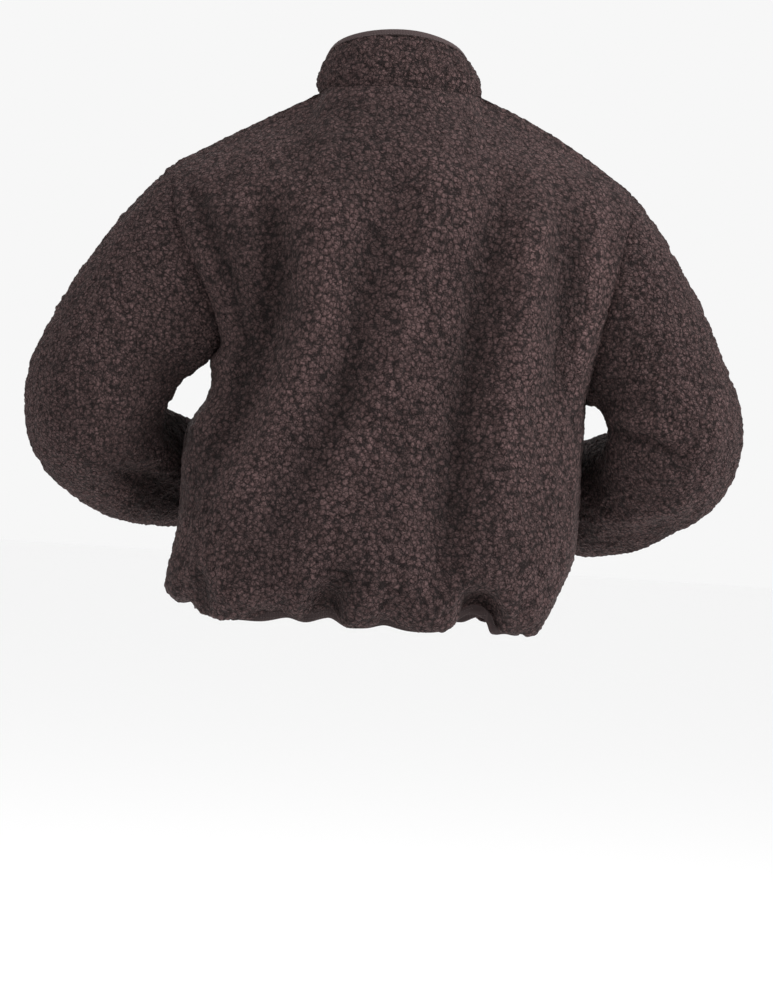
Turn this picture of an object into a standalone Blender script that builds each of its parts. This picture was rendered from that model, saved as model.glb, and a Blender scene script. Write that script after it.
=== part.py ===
"""A sherpa zip jacket in its worn shape, empty and hollow, in metres, +Z up.

The front faces -Y, the wearer's left is +X, and the origin is the middle of the neck
opening at the height of the collar seam. Each panel is a grid of points worked out from
short tables of sizes, and a wall of cloth is drawn inwards from it.
"""
import math
from collections import namedtuple

import bmesh
import bpy
import numpy as np

COLLECTION = "sherpa_zip_jacket"

# Cloth and seams
FLEECE_WALL = 0.005
BINDING_WALL = 0.0035
SEAM_GAP = 0.0003
UNDERARM_DRAW = 0.0009

# How many strips each panel has
SHOULDER_STRIPS = 11
BACK_NECK_STRIPS = 8
FRONT_NECK_STRIPS = 6
SIDE_STRIPS = 16
ARMHOLE_STRIPS = 14
CAP_STRIPS = 8
ARM_STRIPS = 13
COLLAR_STRIPS = 4

# Neck opening and collar
NECK_HALF_WIDTH = 0.089
NECK_SIDE_HEIGHT = {"left": -0.003, "right": 0.003}
SHOULDER_BOW = {"left": 0.005, "right": 0.036}
FRONT_EDGE = 0.005
CollarRing = namedtuple("CollarRing", "part back_y back_z left_x left_z right_x right_z front_y front_z")
COLLAR_TOP = CollarRing(1.0, 0.064, 0.0555, 0.0875, 0.0215, -0.0730, 0.0365, -0.079, 0.007)
COLLAR_SWELL = 0.004
COLLAR_MIDDLE_SWELL = 0.4
COLLAR_TOP_POWER = 0.8
COLLAR_BINDING_HEIGHT = 0.0065

# Torso: part 0 is the hem, 1 the underarm and 2 the shoulder and neck
Level = namedtuple("Level", "part left_z right_z back_z front_z left_x right_x back_y front_y")
LEVELS = (
    Level(0.00, -0.578, -0.582, -0.5805, -0.578, 0.2060, -0.1830, 0.120, -0.108),
    Level(0.05, -0.565, -0.567, -0.5660, -0.565, 0.2170, -0.1930, 0.137, -0.123),
    Level(0.12, -0.549, -0.549, -0.5490, -0.548, 0.2232, -0.2005, 0.146, -0.132),
    Level(0.20, -0.528, -0.528, -0.5280, -0.527, 0.2215, -0.2097, 0.149, -0.136),
    Level(0.31, -0.498, -0.498, -0.4980, -0.498, 0.2160, -0.2215, 0.148, -0.135),
    Level(0.42, -0.468, -0.468, -0.4680, -0.468, 0.2144, -0.2243, 0.144, -0.132),
    Level(0.56, -0.430, -0.430, -0.4290, -0.429, 0.2144, -0.2243, 0.140, -0.130),
    Level(0.72, -0.385, -0.390, -0.3850, -0.385, 0.2135, -0.2243, 0.138, -0.130),
    Level(0.84, -0.352, -0.364, -0.3540, -0.354, 0.1965, -0.2243, 0.138, -0.131),
    Level(0.92, -0.330, -0.346, -0.3330, -0.333, 0.1860, -0.2243, 0.139, -0.131),
    Level(1.00, -0.3025, -0.327, -0.3100, -0.312, 0.1910, -0.2243, 0.140, -0.131),
    Level(1.11, -0.293, -0.309, -0.2780, -0.284, 0.1770, -0.2236, 0.141, -0.131),
    Level(1.23, -0.270, -0.282, -0.2420, -0.252, 0.1680, -0.2225, 0.142, -0.130),
    Level(1.34, -0.240, -0.250, -0.2070, -0.222, 0.1670, -0.2212, 0.141, -0.128),
    Level(1.49, -0.195, -0.200, -0.1580, -0.178, 0.1800, -0.2200, 0.137, -0.123),
    Level(1.65, -0.150, -0.150, -0.1050, -0.129, 0.1980, -0.2205, 0.127, -0.114),
    Level(1.80, -0.112, -0.114, -0.0580, -0.085, 0.2130, -0.2280, 0.109, -0.102),
    Level(2.00, -0.0875, -0.091, 0.0000, -0.033, 0.2407, -0.2590, 0.068, -0.083),
)
ArmholeDepth = namedtuple("ArmholeDepth", "part back_y front_y")
ARMHOLE = (
    ArmholeDepth(1.00, 0.000, 0.000),
    ArmholeDepth(1.11, 0.030, -0.034),
    ArmholeDepth(1.23, 0.056, -0.056),
    ArmholeDepth(1.34, 0.070, -0.065),
    ArmholeDepth(1.49, 0.078, -0.066),
    ArmholeDepth(1.65, 0.070, -0.056),
    ArmholeDepth(1.80, 0.047, -0.037),
    ArmholeDepth(2.00, 0.000, 0.000),
)
SIDE_ROUNDNESS = 2.6
YOKE_ROUNDNESS = 3.2
YOKE_SHARE = 0.8
YOKE_START = 0.95
YOKE_SPAN = 0.35
EVEN_SHARE = 0.5
SOFTEN_TIMES = 5
NECK_DROP_POWER = 1.4

# Over how much of the way from underarm to shoulder each blend runs
SETTLE_SPAN = 0.9
CLIMB_SPAN = 0.5
RISE_SPAN = 0.6
SHOULDER_SPAN = 0.5
TOP_SPAN = 0.15

# Sleeves: rings along each arm, from above the elbow to the cuff
ArmRing = namedtuple("ArmRing", "place x y z radius tall")
ARM_RINGS = {
    "left": (
        ArmRing("upper arm", 0.2930, 0.012, -0.3000, 0.0770, 1.00),
        ArmRing("above elbow", 0.3130, 0.017, -0.3420, 0.0775, 1.00),
        ArmRing("elbow", 0.3170, 0.006, -0.3800, 0.0750, 1.00),
        ArmRing("below elbow", 0.2960, -0.032, -0.4040, 0.0680, 1.03),
        ArmRing("forearm", 0.2600, -0.088, -0.4200, 0.0590, 1.16),
        ArmRing("lower forearm", 0.2200, -0.141, -0.4270, 0.0530, 1.14),
        ArmRing("cuff", 0.1760, -0.190, -0.4370, 0.0420, 1.00),
    ),
    "right": (
        ArmRing("upper arm", -0.3060, 0.012, -0.3020, 0.0710, 1.00),
        ArmRing("above elbow", -0.3230, 0.017, -0.3420, 0.0750, 1.00),
        ArmRing("elbow", -0.3290, 0.006, -0.3740, 0.0735, 1.00),
        ArmRing("below elbow", -0.3040, -0.032, -0.3990, 0.0670, 1.03),
        ArmRing("forearm", -0.2700, -0.088, -0.4200, 0.0590, 1.18),
        ArmRing("lower forearm", -0.2290, -0.141, -0.4300, 0.0540, 1.16),
        ArmRing("cuff", -0.1840, -0.190, -0.4390, 0.0420, 1.00),
    ),
}
ARM_OUTER_X = 0.913
ARM_OUTER_Z = 0.408
CAP_SPREAD = 0.35
CAP_OUTWARD = 0.12
CAP_REACH = 0.9
INSIDE_BEND_SHARE = 0.60
ARM_SOFTEN_TIMES = 3
UNDERARM_TURN = 1.5
UNDERARM_REACH = 0.030
UNDERARM_WIDTH = 0.35
UNDERARM_PASSES = 8
SLEEVE_TURN = 3.0
SLEEVE_REACH = 0.030
CROWDED_RINGS = 0.006
CUFF_BINDING_LENGTH = 0.009
CUFF_BINDING_TUCK = 0.001

# Folds: a path of x, z points seen from behind or in front, its depth and its half width
Fold = namedtuple("Fold", "name depth width path")
BACK_FOLDS = (
    Fold("trough off the neck", -0.0060, 0.020, (
        (-0.005, -0.080), (0.006, -0.170), (0.021, -0.226), (0.033, -0.276), (0.049, -0.370),
        (0.072, -0.427), (0.090, -0.494), (0.128, -0.548))),
    Fold("deep trough", -0.0125, 0.024, (
        (-0.125, -0.085), (-0.117, -0.130), (-0.109, -0.174), (-0.104, -0.218), (-0.098, -0.262),
        (-0.092, -0.307), (-0.083, -0.362), (-0.080, -0.417), (-0.078, -0.472), (-0.073, -0.545))),
    Fold("trough by the right armhole", -0.0070, 0.016, (
        (-0.182, -0.110), (-0.181, -0.170), (-0.185, -0.224), (-0.189, -0.290), (-0.186, -0.350))),
    Fold("trough by the left armhole", -0.0130, 0.021, (
        (0.146, -0.120), (0.126, -0.165), (0.113, -0.210), (0.115, -0.243), (0.125, -0.287),
        (0.131, -0.332), (0.150, -0.377), (0.176, -0.425))),
    Fold("left ridge", 0.0060, 0.026, (
        (0.050, -0.090), (0.050, -0.118), (0.060, -0.185), (0.068, -0.240), (0.075, -0.295),
        (0.098, -0.352), (0.130, -0.420), (0.150, -0.497), (0.155, -0.560))),
    Fold("middle ridge", 0.0060, 0.026, (
        (-0.046, -0.075), (-0.045, -0.112), (-0.038, -0.178), (-0.027, -0.234), (-0.023, -0.289),
        (-0.016, -0.355), (-0.004, -0.422), (0.013, -0.494), (0.020, -0.560))),
    Fold("right ridge", 0.0070, 0.024, (
        (-0.146, -0.100), (-0.144, -0.172), (-0.145, -0.226), (-0.147, -0.292), (-0.138, -0.359),
        (-0.137, -0.435), (-0.146, -0.500))),
    Fold("pinch over the hem notch", -0.0100, 0.014, ((0.050, -0.580), (0.044, -0.550), (0.029, -0.516))),
    Fold("over the wide arch", -0.0130, 0.020, ((-0.116, -0.585), (-0.119, -0.556), (-0.124, -0.532))),
    Fold("pinch by the left side", -0.0070, 0.014, ((0.194, -0.575), (0.186, -0.556), (0.173, -0.535))),
    Fold("side fold at the hem", 0.0060, 0.014, ((-0.166, -0.575), (-0.186, -0.540), (-0.196, -0.515))),
    Fold("left elbow fold", -0.0110, 0.013, (
        (0.352, -0.441), (0.318, -0.451), (0.285, -0.450), (0.258, -0.438), (0.240, -0.415))),
    Fold("left elbow bag", 0.0060, 0.016, ((0.345, -0.412), (0.305, -0.424), (0.275, -0.418))),
    Fold("right elbow fold", -0.0100, 0.013, (
        (-0.305, -0.369), (-0.330, -0.382), (-0.352, -0.392))),
    Fold("right elbow ridge", 0.0060, 0.014, (
        (-0.305, -0.338), (-0.345, -0.358), (-0.375, -0.372))),
    Fold("right forearm fold", -0.0080, 0.013, (
        (-0.240, -0.468), (-0.285, -0.470), (-0.322, -0.457), (-0.350, -0.436))),
)
FRONT_FOLDS = (
    Fold("left chest trough", -0.0080, 0.022, (
        (0.150, -0.130), (0.128, -0.200), (0.108, -0.280), (0.098, -0.370), (0.090, -0.470))),
    Fold("left chest ridge", 0.0060, 0.024, (
        (0.110, -0.110), (0.088, -0.190), (0.068, -0.280), (0.058, -0.380), (0.060, -0.500))),
    Fold("left side trough", -0.0070, 0.020, (
        (0.172, -0.260), (0.160, -0.330), (0.150, -0.420), (0.140, -0.530))),
    Fold("right chest trough", -0.0070, 0.022, (
        (-0.165, -0.140), (-0.140, -0.220), (-0.122, -0.310), (-0.110, -0.420), (-0.112, -0.520))),
    Fold("right chest ridge", 0.0060, 0.024, (
        (-0.125, -0.120), (-0.100, -0.210), (-0.078, -0.310), (-0.070, -0.430), (-0.076, -0.540))),
    Fold("right side trough", -0.0070, 0.018, (
        (-0.186, -0.270), (-0.176, -0.350), (-0.166, -0.440), (-0.156, -0.540))),
)
FRONT_EDGE_CLEAR = 0.034
FOLD_RUN_IN = 0.05
FOLD_RUN_SHARE = 0.35
FOLD_END_SHARE = 0.2
FOLD_WRAP = 0.15
FOLD_TURN = 0.5
SHARP_EDGE = math.radians(50)
WELD = 0.00001

# Hem: cloth puffs over the elastic in lobes, and rises in arches between them
Arch = namedtuple("Arch", "x rise width pull")
SIDE_ARCHES = (
    Arch(0.196, 0.014, 0.013, 0.004),
    Arch(-0.164, 0.005, 0.010, 0.003),
)
BACK_ARCHES = (
    Arch(0.0955, 0.014, 0.019, 0.007),
    Arch(0.049, 0.022, 0.014, 0.008),
    Arch(-0.0233, 0.011, 0.016, 0.006),
    Arch(-0.118, 0.034, 0.021, 0.010),
)
FRONT_ARCHES = (
    Arch(0.172, 0.012, 0.015, 0.006),
    Arch(0.118, 0.020, 0.018, 0.008),
    Arch(0.066, 0.012, 0.016, 0.006),
    Arch(-0.058, 0.014, 0.015, 0.006),
    Arch(-0.104, 0.018, 0.020, 0.008),
    Arch(-0.152, 0.011, 0.015, 0.006),
)
ARCH_FADE_HEIGHT = 0.060
ARCH_SIDE_CLEAR = 0.5
HEM_PARTS = 0.5
HEM_TURN_IN = 0.015
HEM_TURN_UP = 0.009
HEM_TURN_FOLLOWS = 0.45
HEM_BINDING_HEIGHT = 0.010
HEM_BINDING_LAP = 0.001
HEM_BINDING_GAP = 0.0006
BINDING_SWELL = 1.12
BindingStep = namedtuple("BindingStep", "up thick turned_in")
TALL_BINDING = (
    BindingStep(0.00, 1.00, 0.0),
    BindingStep(0.55, BINDING_SWELL, 0.6),
    BindingStep(0.90, 0.90, 0.9),
    BindingStep(1.00, 0.55, 1.0),
)
SHORT_BINDING = (
    BindingStep(0.00, 1.00, 0.0),
    BindingStep(0.55, 1.10, 0.6),
    BindingStep(1.00, 0.60, 1.0),
)

# Zip, measured across the front and out from the middle of the tape
TAPE_THICKNESS = 0.0009
TAPE_CLEARANCE = 0.00035
TAPE_INNER_X = 0.0022
TAPE_REACH = 0.55
CHAIN_HALF_WIDTH = 0.0019
CHAIN_THICKNESS = 0.0022
SLIDER_DROP = 0.012
SLIDER_PLATE = 0.0012
SLIDER_GAP = 0.0003
SLIDER_WIDTH = 0.0080
SLIDER_LENGTH = 0.0100
PULL_LENGTH = 0.024
PULL_WIDTH = 0.0056
PULL_THICKNESS = 0.0012
CROSSBAR_RADIUS = 0.0005
METAL_BEVEL = 0.0003
CHAIN_END_ROOM = 0.002

# Slider: the bridge between its plates and the bail that keeps the pull's crossbar
PLATE_OVERLAP = 0.0004
BRIDGE_HALF_WIDTH = 0.0015
BRIDGE_START = 0.0012
CROSSBAR_LIFT = 0.0010
BAIL_ROOM = 0.0004
BAIL_SINK = 0.0005
BAIL_THICKNESS = 0.0009
BAIL_LEG_OVERLAP = 0.0010
BAIL_HALF_WIDTH = 0.0009
BAIL_LEG_START = 0.0018
BAIL_LEG_END = 0.0030
BAIL_BAR_HALF_WIDTH = 0.00085
BAIL_BAR_HALF_LENGTH = 0.0028

# Pull: a plate, two legs and the crossbar between them
PULL_PLATE_TOP = -0.0042
PULL_LEG_FOOT = -0.0060
PULL_LEG_TOP = 0.0004
PULL_LEG_WIDTH = 0.0011
PULL_LEG_STEP = 0.0001
CROSSBAR_HALF = 0.00045
CROSSBAR_SHORTER = 0.0004

# Top stops and the box at the foot
STOP_ROOM = 0.0012
STOP_NEAR_X = 0.0012
STOP_FAR_X = 0.0038
STOP_HEIGHT = 0.0028
STOP_THICKNESS = 0.0013
BOX_HALF_WIDTH = 0.0040
BOX_HALF_HEIGHT = 0.0050
BOX_THICKNESS = 0.0016
BOX_BEVEL = 0.0004

Finish = namedtuple("Finish", "colour roughness metallic")
FINISHES = {
    "fleece": Finish((0.062, 0.043, 0.042), 0.95, 0.0),
    "binding": Finish((0.052, 0.034, 0.034), 0.80, 0.0),
    "tape": Finish((0.030, 0.022, 0.022), 0.85, 0.0),
    "teeth": Finish((0.022, 0.017, 0.017), 0.45, 0.0),
    "metal": Finish((0.060, 0.055, 0.055), 0.35, 1.0),
}


# Curves, blends and directions

def smooth_between(knots, values, at):
    """Values of a smooth curve through the knots that never runs past them."""
    knots = np.asarray(knots, float)
    values = np.asarray(values, float)
    steps = np.diff(knots)
    slopes = np.diff(values) / steps
    tangents = np.concatenate((slopes[:1], np.zeros(len(slopes) - 1), slopes[-1:]))
    for k in range(1, len(slopes)):
        before, after = slopes[k - 1], slopes[k]
        if before * after > 0:
            tangents[k] = 2 * before * after / (before + after)
    at = np.asarray(at, float)
    piece = np.clip(np.searchsorted(knots, at, side="right") - 1, 0, len(slopes) - 1)
    t = np.clip((at - knots[piece]) / steps[piece], 0, 1)
    start = (1 + 2 * t) * (1 - t) ** 2 * values[piece] + t * (1 - t) ** 2 * steps[piece] * tangents[piece]
    end = t * t * (3 - 2 * t) * values[piece + 1] - t * t * (1 - t) * steps[piece] * tangents[piece + 1]
    return start + end


def column(table, name, at):
    """One named column of a table, read at a part of the way."""
    return smooth_between([row.part for row in table], [getattr(row, name) for row in table], at)


def ease(t):
    """0 to 1 with a soft start and a soft end."""
    t = np.clip(t, 0, 1)
    return t * t * (3 - 2 * t)


def mix(a, b, share):
    """A share of the way from a to b."""
    return a + (b - a) * share


def unit(vectors):
    """Vectors at length 1."""
    length = np.linalg.norm(vectors, axis=-1, keepdims=True)
    return vectors / np.maximum(length, 1e-12)


def turn_toward(vector, axis):
    """The part of a vector that is square to an axis, at unit length."""
    return unit(vector - np.sum(vector * axis, axis=-1, keepdims=True) * axis)


# Torso panels

def strip_places(count, half_way):
    """Places across a panel from 1 at its side, closer together near the side."""
    i = np.arange(count + 1) / count
    if half_way:
        return mix(np.cos(0.5 * math.pi * i), 1 - i, EVEN_SHARE)
    return mix(np.cos(math.pi * i), 1 - 2 * i, EVEN_SHARE)


def section_fullness(u, part):
    """How far a level has come from its side's depth to its middle's, at place u."""
    sides = (1 - np.abs(u) ** SIDE_ROUNDNESS) ** (1 / SIDE_ROUNDNESS)
    yoke = 1 - np.abs(u) ** YOKE_ROUNDNESS
    return mix(sides, yoke, YOKE_SHARE * ease((part - YOKE_START) / YOKE_SPAN))


def shoulder_seam(side):
    """The points of one shoulder seam, from the armhole to the neck."""
    sign = 1 if side == "left" else -1
    edge_x = abs(getattr(LEVELS[-1], side + "_x"))
    edge_z = getattr(LEVELS[-1], side + "_z")
    t = 1 - np.arange(SHOULDER_STRIPS + 1) / SHOULDER_STRIPS
    x = mix(NECK_HALF_WIDTH, edge_x, t)
    z = mix(NECK_SIDE_HEIGHT[side], edge_z, t) + SHOULDER_BOW[side] * t * (1 - t)
    return np.stack((sign * x, np.zeros_like(x), z), axis=1)


def back_top():
    """The back's top row: left shoulder seam, neck and right shoulder seam."""
    top = LEVELS[-1]
    left = shoulder_seam("left")
    right = shoulder_seam("right")
    turn = np.linspace(0, math.pi, BACK_NECK_STRIPS + 1)
    x = NECK_HALF_WIDTH * np.cos(turn)
    y = top.back_y * np.sin(turn)
    side_z = mix(NECK_SIDE_HEIGHT["left"], NECK_SIDE_HEIGHT["right"], turn / math.pi)
    z = mix(side_z, top.back_z, np.sin(turn))
    neck = np.stack((x, y, z), axis=1)
    return np.concatenate((left, neck[1:-1], right[::-1]))


def front_top(side):
    """A front's top row: its shoulder seam, then the neck down to the zip."""
    top = LEVELS[-1]
    sign = 1 if side == "left" else -1
    shoulder = shoulder_seam(side)
    turn = np.linspace(0, 0.5 * math.pi, FRONT_NECK_STRIPS + 1)
    x = sign * mix(FRONT_EDGE, NECK_HALF_WIDTH, np.cos(turn))
    y = top.front_y * np.sin(turn)
    z = mix(NECK_SIDE_HEIGHT[side], top.front_z, np.sin(turn) ** NECK_DROP_POWER)
    neck = np.stack((x, y, z), axis=1)
    return np.concatenate((shoulder, neck[1:]))


def soften(values, times=SOFTEN_TIMES):
    """A row of values with its corners rounded off and its ends kept."""
    out = np.array(values, float)
    for _ in range(times):
        out[1:-1] = 0.25 * out[:-2] + 0.5 * out[1:-1] + 0.25 * out[2:]
    return out


def part_rows():
    """The parts of the way up at which a torso panel has its rows, hem to shoulder."""
    below = np.arange(SIDE_STRIPS) / SIDE_STRIPS
    above = 1 + np.arange(ARMHOLE_STRIPS + 1) / ARMHOLE_STRIPS
    return np.concatenate((below, above))


def hem_shape(points, height_over_hem, arches, fullness):
    """Lift and pull in the cloth near the hem where it arches between its lobes."""
    fade = 1 - ease(height_over_hem / ARCH_FADE_HEIGHT)
    rise = np.zeros_like(points[:, 0])
    pull = np.zeros_like(points[:, 0])
    off_side = ease(np.abs(fullness) / ARCH_SIDE_CLEAR)
    for arch in SIDE_ARCHES + arches:
        bump = np.exp(-((points[:, 0] - arch.x) / arch.width) ** 2)
        if arch not in SIDE_ARCHES:
            bump = bump * off_side
        rise += arch.rise * bump
        pull += arch.pull * bump * off_side
    return rise * fade, pull * fade


def torso_panel(face, side=None):
    """The outer points of the back, or of one front, row by row from the hem up."""
    parts = part_rows()
    back = face == "back"
    u = strip_places(2 * SHOULDER_STRIPS + BACK_NECK_STRIPS if back else SHOULDER_STRIPS + FRONT_NECK_STRIPS,
                     not back)
    top = back_top() if back else front_top(side)
    arches = BACK_ARCHES if back else FRONT_ARCHES
    inward = np.array((0.0, -1.0 if back else 1.0, 0.0))
    rows = []
    for part in parts:
        level = {name: float(column(LEVELS, name, part)) for name in Level._fields[1:]}
        lean = 0.0
        edge_y = 0.0
        if part > 1:
            edge_y = float(column(ARMHOLE, face + "_y", part))
            lean = math.sin(math.pi * (part - 1))
        if back:
            middle = 0.5 * (level["left_x"] + level["right_x"])
            x = middle + 0.5 * (level["left_x"] - level["right_x"]) * u
            edge_z = np.where(u > 0, level["left_z"], level["right_z"])
        else:
            sign = 1 if side == "left" else -1
            even = 0.5 * (level["left_x"] - level["right_x"])
            reach = mix(abs(level[side + "_x"]), even, lean)
            x = sign * mix(FRONT_EDGE, reach, u)
            edge_z = np.full_like(u, level[side + "_z"])
        settle = ease((part - 1) / SETTLE_SPAN)
        x = mix(x, top[:, 0], settle)
        if part >= 2:
            x = top[:, 0]
        end = np.where(u > 0, top[0, 2], top[-1, 2]) if back else np.full_like(u, top[0, 2])
        middle_top = LEVELS[-1].back_z if back else LEVELS[-1].front_z
        at_top = ease((part - 2 + TOP_SPAN) / TOP_SPAN)
        climb = (top[:, 2] - end) / (middle_top - end)
        climb = mix(soften(climb), climb, at_top)
        edge_blend = edge_z
        if back:
            edge_blend = mix(level["right_z"], level["left_z"], 0.5 + 0.5 * u)
        climb_base = mix(edge_blend, edge_z, ease((part - 1) / CLIMB_SPAN))
        rise_share = mix(1 - np.abs(u) ** 2, climb, ease((part - 1) / RISE_SPAN))
        z = climb_base + (level[face + "_z"] - climb_base) * rise_share
        yoke = ease((part - 2 + SHOULDER_SPAN) / SHOULDER_SPAN)
        top_share = top[:, 1] / (LEVELS[-1].back_y if back else LEVELS[-1].front_y)
        top_share = mix(soften(top_share), top_share, at_top)
        fullness = mix(section_fullness(u, part), top_share, yoke)
        y = edge_y + (level[face + "_y"] - edge_y) * fullness
        points = np.stack((x, y, z), axis=1)
        if part < HEM_PARTS:
            rise, pull = hem_shape(points, points[:, 2] - LEVELS[0].left_z, arches, fullness)
            points[:, 2] += rise
            points += inward * pull[:, None]
        rows.append(points)
    rows[-1] = top.copy()
    rows.insert(0, turned_under(rows[0], rows[1]))
    return np.array(rows)


def turned_under(hem, row_above):
    """The hem's turned-in edge: drawn towards the middle of the body and back up."""
    out = unit(hem[:, :2])
    edge = hem.copy()
    edge[:, :2] -= out * HEM_TURN_IN
    lowest = LEVELS[0].back_z
    edge[:, 2] = lowest + HEM_TURN_UP + (hem[:, 2] - lowest) * HEM_TURN_FOLLOWS
    near_zip = np.abs(hem[:, 0]) < FRONT_EDGE + 1e-6
    edge[near_zip, 0] = hem[near_zip, 0]
    return edge


# Sleeves

def arm_line(side, count):
    """Centres, directions, radii and heights of the rings from upper arm to cuff."""
    rings = ARM_RINGS[side]
    centres = np.array([(ring.x, ring.y, ring.z) for ring in rings])
    along = np.concatenate(([0], np.cumsum(np.linalg.norm(np.diff(centres, axis=0), axis=1))))
    spans = np.diff(along)[:, None]
    slopes = np.diff(centres, axis=0) / spans
    tangents = np.concatenate((slopes[:1], 0.5 * (slopes[1:] + slopes[:-1]), slopes[-1:]))
    places = np.linspace(0, along[-1], count + 1)
    piece = np.clip(np.searchsorted(along, places, side="right") - 1, 0, len(spans) - 1)
    t = ((places - along[piece]) / spans[piece, 0])[:, None]
    h = spans[piece]
    centre = (1 + 2 * t) * (1 - t) ** 2 * centres[piece] + t * (1 - t) ** 2 * h * tangents[piece]
    centre += t * t * (3 - 2 * t) * centres[piece + 1] - t * t * (1 - t) * h * tangents[piece + 1]
    centre = soften(centre, ARM_SOFTEN_TIMES)
    direction = unit(np.gradient(centre, axis=0))
    bend = np.gradient(direction, axis=0) / np.gradient(places)[:, None]
    radius = smooth_between(along, [ring.radius for ring in rings], places)
    tall = smooth_between(along, [ring.tall for ring in rings], places)
    return centre, direction, bend, radius, tall


def inside_bend(offsets, bend):
    """Hold a ring's points back on the inside of a bend, so that the rings never cross."""
    sharpness = np.linalg.norm(bend)
    toward = bend / max(sharpness, 1e-9)
    room = INSIDE_BEND_SHARE / max(sharpness, 1e-9)
    reach = offsets @ toward
    held = np.where(reach > 0, room * np.tanh(np.clip(reach, 0, None) / room), reach)
    return offsets + (held - reach)[:, None] * toward


def sleeve(side, back, front):
    """The sleeve's outer points: the armhole loop, the cap, the elbow and the cuff."""
    edge = 0 if side == "left" else -1
    first = 1 + SIDE_STRIPS
    up = back[first:, edge]
    down = front[first:, 0][::-1]
    loop = np.concatenate((up, down[1:]))
    around = len(loop) - 1
    centre, direction, bend, radius, tall = arm_line(side, ARM_STRIPS)
    sign = 1 if side == "left" else -1
    outer_axis = turn_toward(np.array((sign * ARM_OUTER_X, 0.0, ARM_OUTER_Z)), direction[0])
    turn = np.linspace(0, 2 * math.pi, around + 1)
    rings = []
    for k in range(ARM_STRIPS + 1):
        outer_axis = turn_toward(outer_axis, direction[k])
        back_axis = sign * np.cross(outer_axis, direction[k])
        back_axis = unit(back_axis if k > 0 or back_axis[1] > 0 else -back_axis)
        upright = turn_toward(np.array((0.0, 0.0, 1.0)), direction[k])
        spokes = -np.cos(turn)[:, None] * outer_axis + np.sin(turn)[:, None] * back_axis
        spokes = spokes + (tall[k] - 1) * (spokes @ upright)[:, None] * upright
        rings.append(centre[k] + inside_bend(radius[k] * spokes, bend[k]))
    outward = unit(loop - loop.mean(axis=0))
    leave = unit(direction[0] + CAP_SPREAD * outward + np.array((sign * CAP_OUTWARD, 0, 0)))
    span = np.linalg.norm(rings[0] - loop, axis=1)[:, None] * CAP_REACH
    cap = []
    for t in np.arange(CAP_STRIPS) / CAP_STRIPS:
        point = (1 + 2 * t) * (1 - t) ** 2 * loop + t * (1 - t) ** 2 * span * leave
        point = point + t * t * (3 - 2 * t) * rings[0] - t * t * (1 - t) * span * direction[0]
        cap.append(point)
    return spread_under_arm(np.array(cap + rings), turn)


def spread_under_arm(grid, turn):
    """Space the rows under the arm more evenly, where the cap is at its shortest."""
    share = 0.5 * np.exp(-(np.sin(0.5 * turn) / UNDERARM_WIDTH) ** 2)[None, :, None]
    out = grid.copy()
    for _ in range(UNDERARM_PASSES):
        between = 0.5 * (out[:-2] + out[2:])
        out[1:-1] = mix(out[1:-1], between, share)
    return out


# Collar

def collar(back, front_left, front_right):
    """The collar's outer points, from the neck seam to its top edge, zip to zip."""
    left = front_left[-1, SHOULDER_STRIPS:][::-1]
    middle = back[-1, SHOULDER_STRIPS:SHOULDER_STRIPS + BACK_NECK_STRIPS + 1]
    right = front_right[-1, SHOULDER_STRIPS:]
    base = np.concatenate((left, middle[1:-1], right))
    ring = COLLAR_TOP
    quarter = np.linspace(0, 0.5 * math.pi, FRONT_NECK_STRIPS + 1)
    half = np.linspace(0, math.pi, BACK_NECK_STRIPS + 1)
    front_share = np.sin(quarter)
    x = mix(FRONT_EDGE, abs(ring.left_x), np.cos(quarter))
    top_left = np.stack((x, ring.front_y * front_share, mix(ring.left_z, ring.front_z, front_share)), axis=1)
    x = -mix(FRONT_EDGE, abs(ring.right_x), np.cos(quarter))
    right_z = mix(ring.right_z, ring.front_z, front_share)
    top_right = np.stack((x, ring.front_y * front_share, right_z), axis=1)
    x = np.where(half < 0.5 * math.pi, ring.left_x, -ring.right_x) * np.cos(half)
    side_z = mix(ring.left_z, ring.right_z, half / math.pi)
    back_z = mix(side_z, ring.back_z, np.sin(half) ** COLLAR_TOP_POWER)
    top_back = np.stack((x, ring.back_y * np.sin(half), back_z), axis=1)
    top = np.concatenate((top_left[::-1], top_back[1:-1], top_right))
    rows = []
    for t in np.arange(COLLAR_STRIPS + 1) / COLLAR_STRIPS:
        row = mix(base, top, t)
        out = unit(row * np.array((1.0, 1.0, 0.0)))
        beside = np.clip(np.abs(row[:, :1]) / NECK_HALF_WIDTH + COLLAR_MIDDLE_SWELL, 0, 1)
        swell = COLLAR_SWELL * math.sin(math.pi * t) * beside
        out[[0, -1], 0] = 0
        rows.append(row + out * swell)
    return np.array(rows)


# Normals, folds and walls

def shared_normals(grids, signs):
    """Outward normals of every grid, averaged over all the pieces that meet at a point."""
    sums = {}
    own = {}
    for name, grid in grids.items():
        first = grid[1:, 1:] - grid[:-1, :-1]
        second = grid[1:, :-1] - grid[:-1, 1:]
        face = np.cross(first, second) * signs[name]
        total = np.zeros_like(grid)
        for rows, cols in ((slice(0, -1), slice(0, -1)), (slice(1, None), slice(0, -1)),
                           (slice(0, -1), slice(1, None)), (slice(1, None), slice(1, None))):
            total[rows, cols] += face
        own[name] = total
        for place in np.ndindex(grid.shape[:2]):
            key = tuple(np.round(grid[place] * 1e6).astype(int))
            sums[key] = sums.get(key, 0) + total[place]
    normals = {}
    for name, grid in grids.items():
        out = np.zeros_like(grid)
        for place in np.ndindex(grid.shape[:2]):
            out[place] = sums[tuple(np.round(grid[place] * 1e6).astype(int))]
        normals[name] = unit(out)
    return normals


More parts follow.
